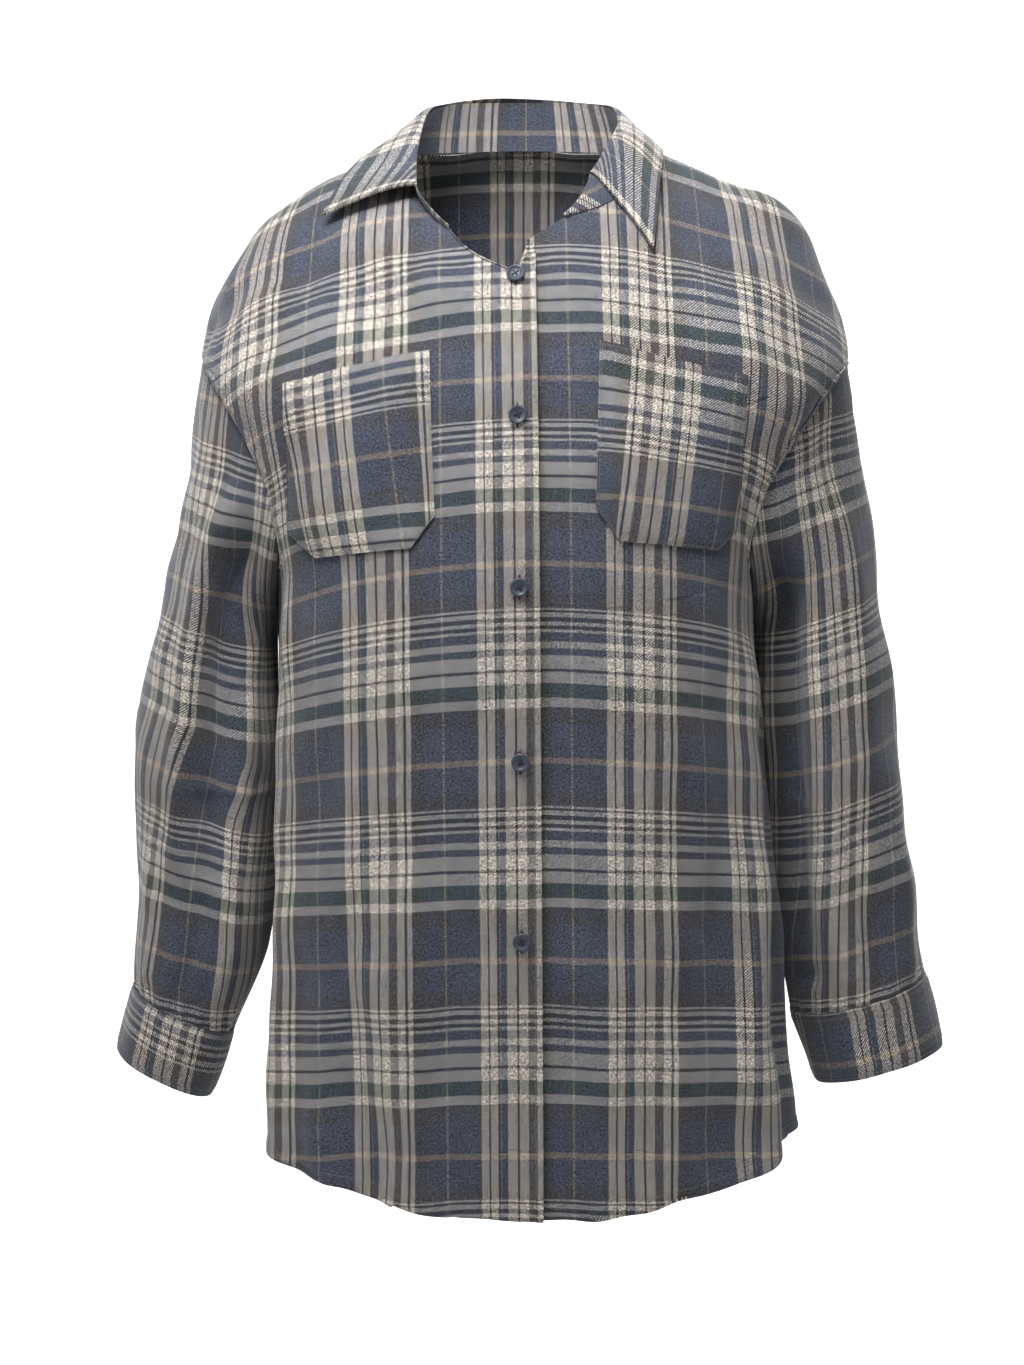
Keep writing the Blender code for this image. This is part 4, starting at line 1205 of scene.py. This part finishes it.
def sew_on(number, dish, east, north, up, cotton):
    """Two crossed bars of three threads, over a button's holes."""
    turn = 0
    for offset in (-THREAD_PITCH, 0, THREAD_PITCH):
        for lean in (-1, 1):
            middle = dish + offset * (east - lean * north)
            across = HOLE_OFFSET * (east + lean * north)
            bar = middle + np.linspace(-1, 1, len(THREAD_ARCH))[:, None] * across + THREAD_ARCH[:, None] * up
            turn += 1
            loop = np.concatenate([bar, bar[::-1] - THREAD_THICK * up])
            tube(f"shirt_button_thread_{number}_{turn}", loop, THREAD_RADIUS, cotton)


def buttons(material, cotton):
    shared = button_mesh()
    draw = np.random.default_rng(BUTTON_SEED)
    for number, z in enumerate(BUTTON_Z, 1):
        point, normal = button_seat(z)
        tip = unit(normal + draw.normal(size=3) * BUTTON_TILT)
        level = unit(np.cross([0, 0, 1.0], tip))
        spin = draw.uniform(-BUTTON_SPIN, BUTTON_SPIN)
        east = math.cos(spin) * level + math.sin(spin) * np.cross(tip, level)
        north = np.cross(tip, east)
        seat = point + normal * BUTTON_SEAT
        mesh = shared.copy()
        corners = np.empty(len(mesh.vertices) * 3)
        mesh.vertices.foreach_get("co", corners)
        corners = corners.reshape(-1, 3) @ np.stack([east, north, tip]) + seat
        mesh.vertices.foreach_set("co", corners.ravel())
        mesh.update()
        made = link(f"shirt_button_{number}", mesh, material)
        mesh.set_sharp_from_angle(angle=BUTTON_SHARP)
        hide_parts(f"button_{number}")
        sew_on(number, seat + tip * (DISH * BUTTON_THICK + THREAD_CLEAR), east, north, tip, cotton)
        turn = np.linspace(0, 2 * np.pi, BUTTONHOLE_POINTS, endpoint=False)[:, None]
        up = unit(np.array([0, 0, 1.0]) - normal[2] * normal)
        run = np.sign(np.cos(turn)) * np.abs(np.cos(turn)) ** BUTTONHOLE_BLUNT * BUTTONHOLE_HALF
        path = point + run * up + np.sin(turn) * BUTTONHOLE_WIDE * np.cross(up, normal)
        tube(f"shirt_buttonhole_{number}", path + BUTTONHOLE_LIFT * normal, BUTTONHOLE_CORD, cotton)


STITCH_PROUD = 0.0001
EDGE_ROW = 0.0168  # in a, from the front's edge
POCKET_ROW_IN, POCKET_ROW_LOW, MOUTH_ROW = 0.016, 0.985, 0.16  # shares of the pocket
CUFF_ROWS, CUFF_STEPS = (3, 38), 41
COLLAR_ROW, COLLAR_ENDS = LEAF_ROWS - 5, 8


def torso_run(a, t, lift=0.0):
    points, normal = draped(a, t, lift)
    return points + STITCH_PROUD * normal, normal


def front_and_hem_stitches(cotton):
    t = np.linspace(V_BOTTOM * 0.2, HEM - 0.010, 420)
    edge = front_edge(t, "right")
    stitches("shirt_stitch_front", [torso_run(edge - EDGE_ROW, t, 0.0003)], cotton)
    right = np.linspace(-0.99, 0.0, 400)
    right = right[right < front_edge(np.array([HEM]), "right")[0]]
    arcs = (right, np.linspace(edge[-1] + 0.02, 0.99, 400), np.linspace(1.01, 2.99, 800))
    row = HEM - HEM_DEEP + HEM_GROOVE_IN
    runs = [torso_run(a, np.full(len(a), row), 0.0004) for a in arcs]
    stitches("shirt_stitch_hem", runs, cotton)


def pocket_run(side, path, own):
    a, t, _ = pocket_place(side, *np.array(path).T)
    return torso_run(a, t, pocket_lift(side, a, t, own))


def pocket_stitches(side, cotton):
    low = POCKET_ROW_LOW
    path = [(POCKET_ROW_IN, y) for y in np.linspace(0.0, low, 120)]
    path += [(x, low) for x in np.linspace(POCKET_ROW_IN, 1 - POCKET_ROW_IN, 120)]
    path += [(1 - POCKET_ROW_IN, y) for y in np.linspace(low, 0.0, 120)]
    mouth = [(x, MOUTH_ROW) for x in np.linspace(0.02, 0.98, 100)]
    runs = [pocket_run(side, path, 0.0002), pocket_run(side, mouth, 0.0011)]
    stitches("shirt_stitch_pocket_" + side, runs, cotton)


def all_stitches(cotton):
    """Topstitching: front edge, hem, pockets, cuffs and collar."""
    front_and_hem_stitches(cotton)
    for side in SIGN:
        pocket_stitches(side, cotton)
        points, normal = cuff_surface(side, np.linspace(0, 360, 241)[:-1], np.linspace(0, 1, CUFF_STEPS))
        runs = [(points[row], normal[row]) for row in CUFF_ROWS]
        stitches("shirt_stitch_cuff_" + side, runs, cotton)
    leaf = np.stack(leaf_surface(LEAF_COLUMNS, LEAF_ROWS))
    ends = slice(COLLAR_ENDS, COLLAR_ROW + 1)
    runs = [leaf[:, COLLAR_ROW, 4:-4], leaf[:, ends, COLLAR_ENDS], leaf[:, ends, -COLLAR_ENDS - 1]]
    stitches("shirt_stitch_collar", runs, cotton)


# ---- stage ----

FLOOR_Z, WALL_Y, WALL_TOP, SWEEP, FLOOR_FRONT, SIDES = -1.35, 2.6, 3.2, 1.2, -4.0, 5.0
SWEEP_STEPS = 16
PAPER, PAPER_ROUGH, BACKDROP_GLOW, WORLD_LIGHT = (0.9, 0.9, 0.9, 1), 0.9, 0.80, 0.12
WHITE = (1.0, 1.0, 1.0, 1)
LAMPS = (  # name, place, aim, size and power
    ("overhead", (-0.20, -0.70, 0.80), (0.0, -0.05, -0.22), 0.7, 18.5),
    ("left", (-2.1, -2.0, 1.1), (0.0, 0.0, -0.25), 0.9, 13),
    ("right", (2.3, -2.2, 0.8), (0.0, 0.0, -0.25), 1.4, 5),
    ("back", (0.8, 1.9, 1.5), (0.0, 0.3, -0.2), 1.6, 30),
)


def studio():
    """A pale sweep, soft light from above and in front, and the camera."""
    turns = np.linspace(0, math.pi / 2, SWEEP_STEPS + 1)
    profile = [(FLOOR_FRONT, FLOOR_Z), (WALL_Y - 1.6, FLOOR_Z)]
    profile += [(WALL_Y - SWEEP + SWEEP * math.sin(w), FLOOR_Z + SWEEP - SWEEP * math.cos(w)) for w in turns]
    profile.append((WALL_Y, WALL_TOP))
    points = [(x, y, z) for y, z in profile for x in (-SIDES, SIDES)]
    faces = [(2 * k, 2 * k + 1, 2 * k + 3, 2 * k + 2) for k in range(len(profile) - 1)]
    plain = {"Base_Color": PAPER, "Roughness": PAPER_ROUGH}
    paper = Tree("paper", **plain).material
    lit_paper = Tree("lit_paper", **plain, Emission_Color=WHITE, Emission_Strength=BACKDROP_GLOW).material
    for name, own_faces, material in (("floor", faces[:1], paper), ("backdrop", faces[1:], lit_paper)):
        mesh = bpy.data.meshes.new(name)
        mesh.from_pydata(points, [], own_faces)
        mesh.shade_smooth()
        mesh.materials.append(material)
        add(name, mesh)

    world = bpy.data.worlds.new("studio")
    world.use_nodes = True
    background = world.node_tree.nodes["Background"]
    background.inputs[0].default_value, background.inputs[1].default_value = WHITE, WORLD_LIGHT
    bpy.context.scene.world = world
    bpy.context.scene.view_settings.view_transform = "Standard"
    for name, place, aim, size, power in LAMPS:
        lamp = bpy.data.lights.new(name, "AREA")
        lamp.shape, lamp.size, lamp.energy = "DISK", size, power
        holder = add(name, lamp)
        holder.location = place
        holder.visible_camera = False
        x, y, z = np.array(aim) - np.array(place)
        holder.rotation_euler = (math.atan2(math.hypot(x, y), -z), 0, math.atan2(-x, y))

    lens = bpy.data.cameras.new("camera")
    lens.lens, lens.sensor_width = 63.3, 36
    camera = add("camera", lens)
    camera.location = (-0.0107, -1.83, -0.262)
    camera.rotation_euler = (math.radians(86), 0, 0)
    bpy.context.scene.camera = camera


def main():
    studio()
    cloth = flannel("flannel_body")
    back(cloth)
    for side in SIGN:
        front(side, cloth)
        pocket(side, cloth)
        sleeve(side, cloth)
        cuff(side, cloth)
    collar_stand(cloth)
    collar_leaf(cloth)
    buttons(resin("button_resin"), thread("slate_thread", (0.022, 0.026, 0.040)))
    all_stitches(thread("grey_thread", (0.30, 0.29, 0.28)))


main()
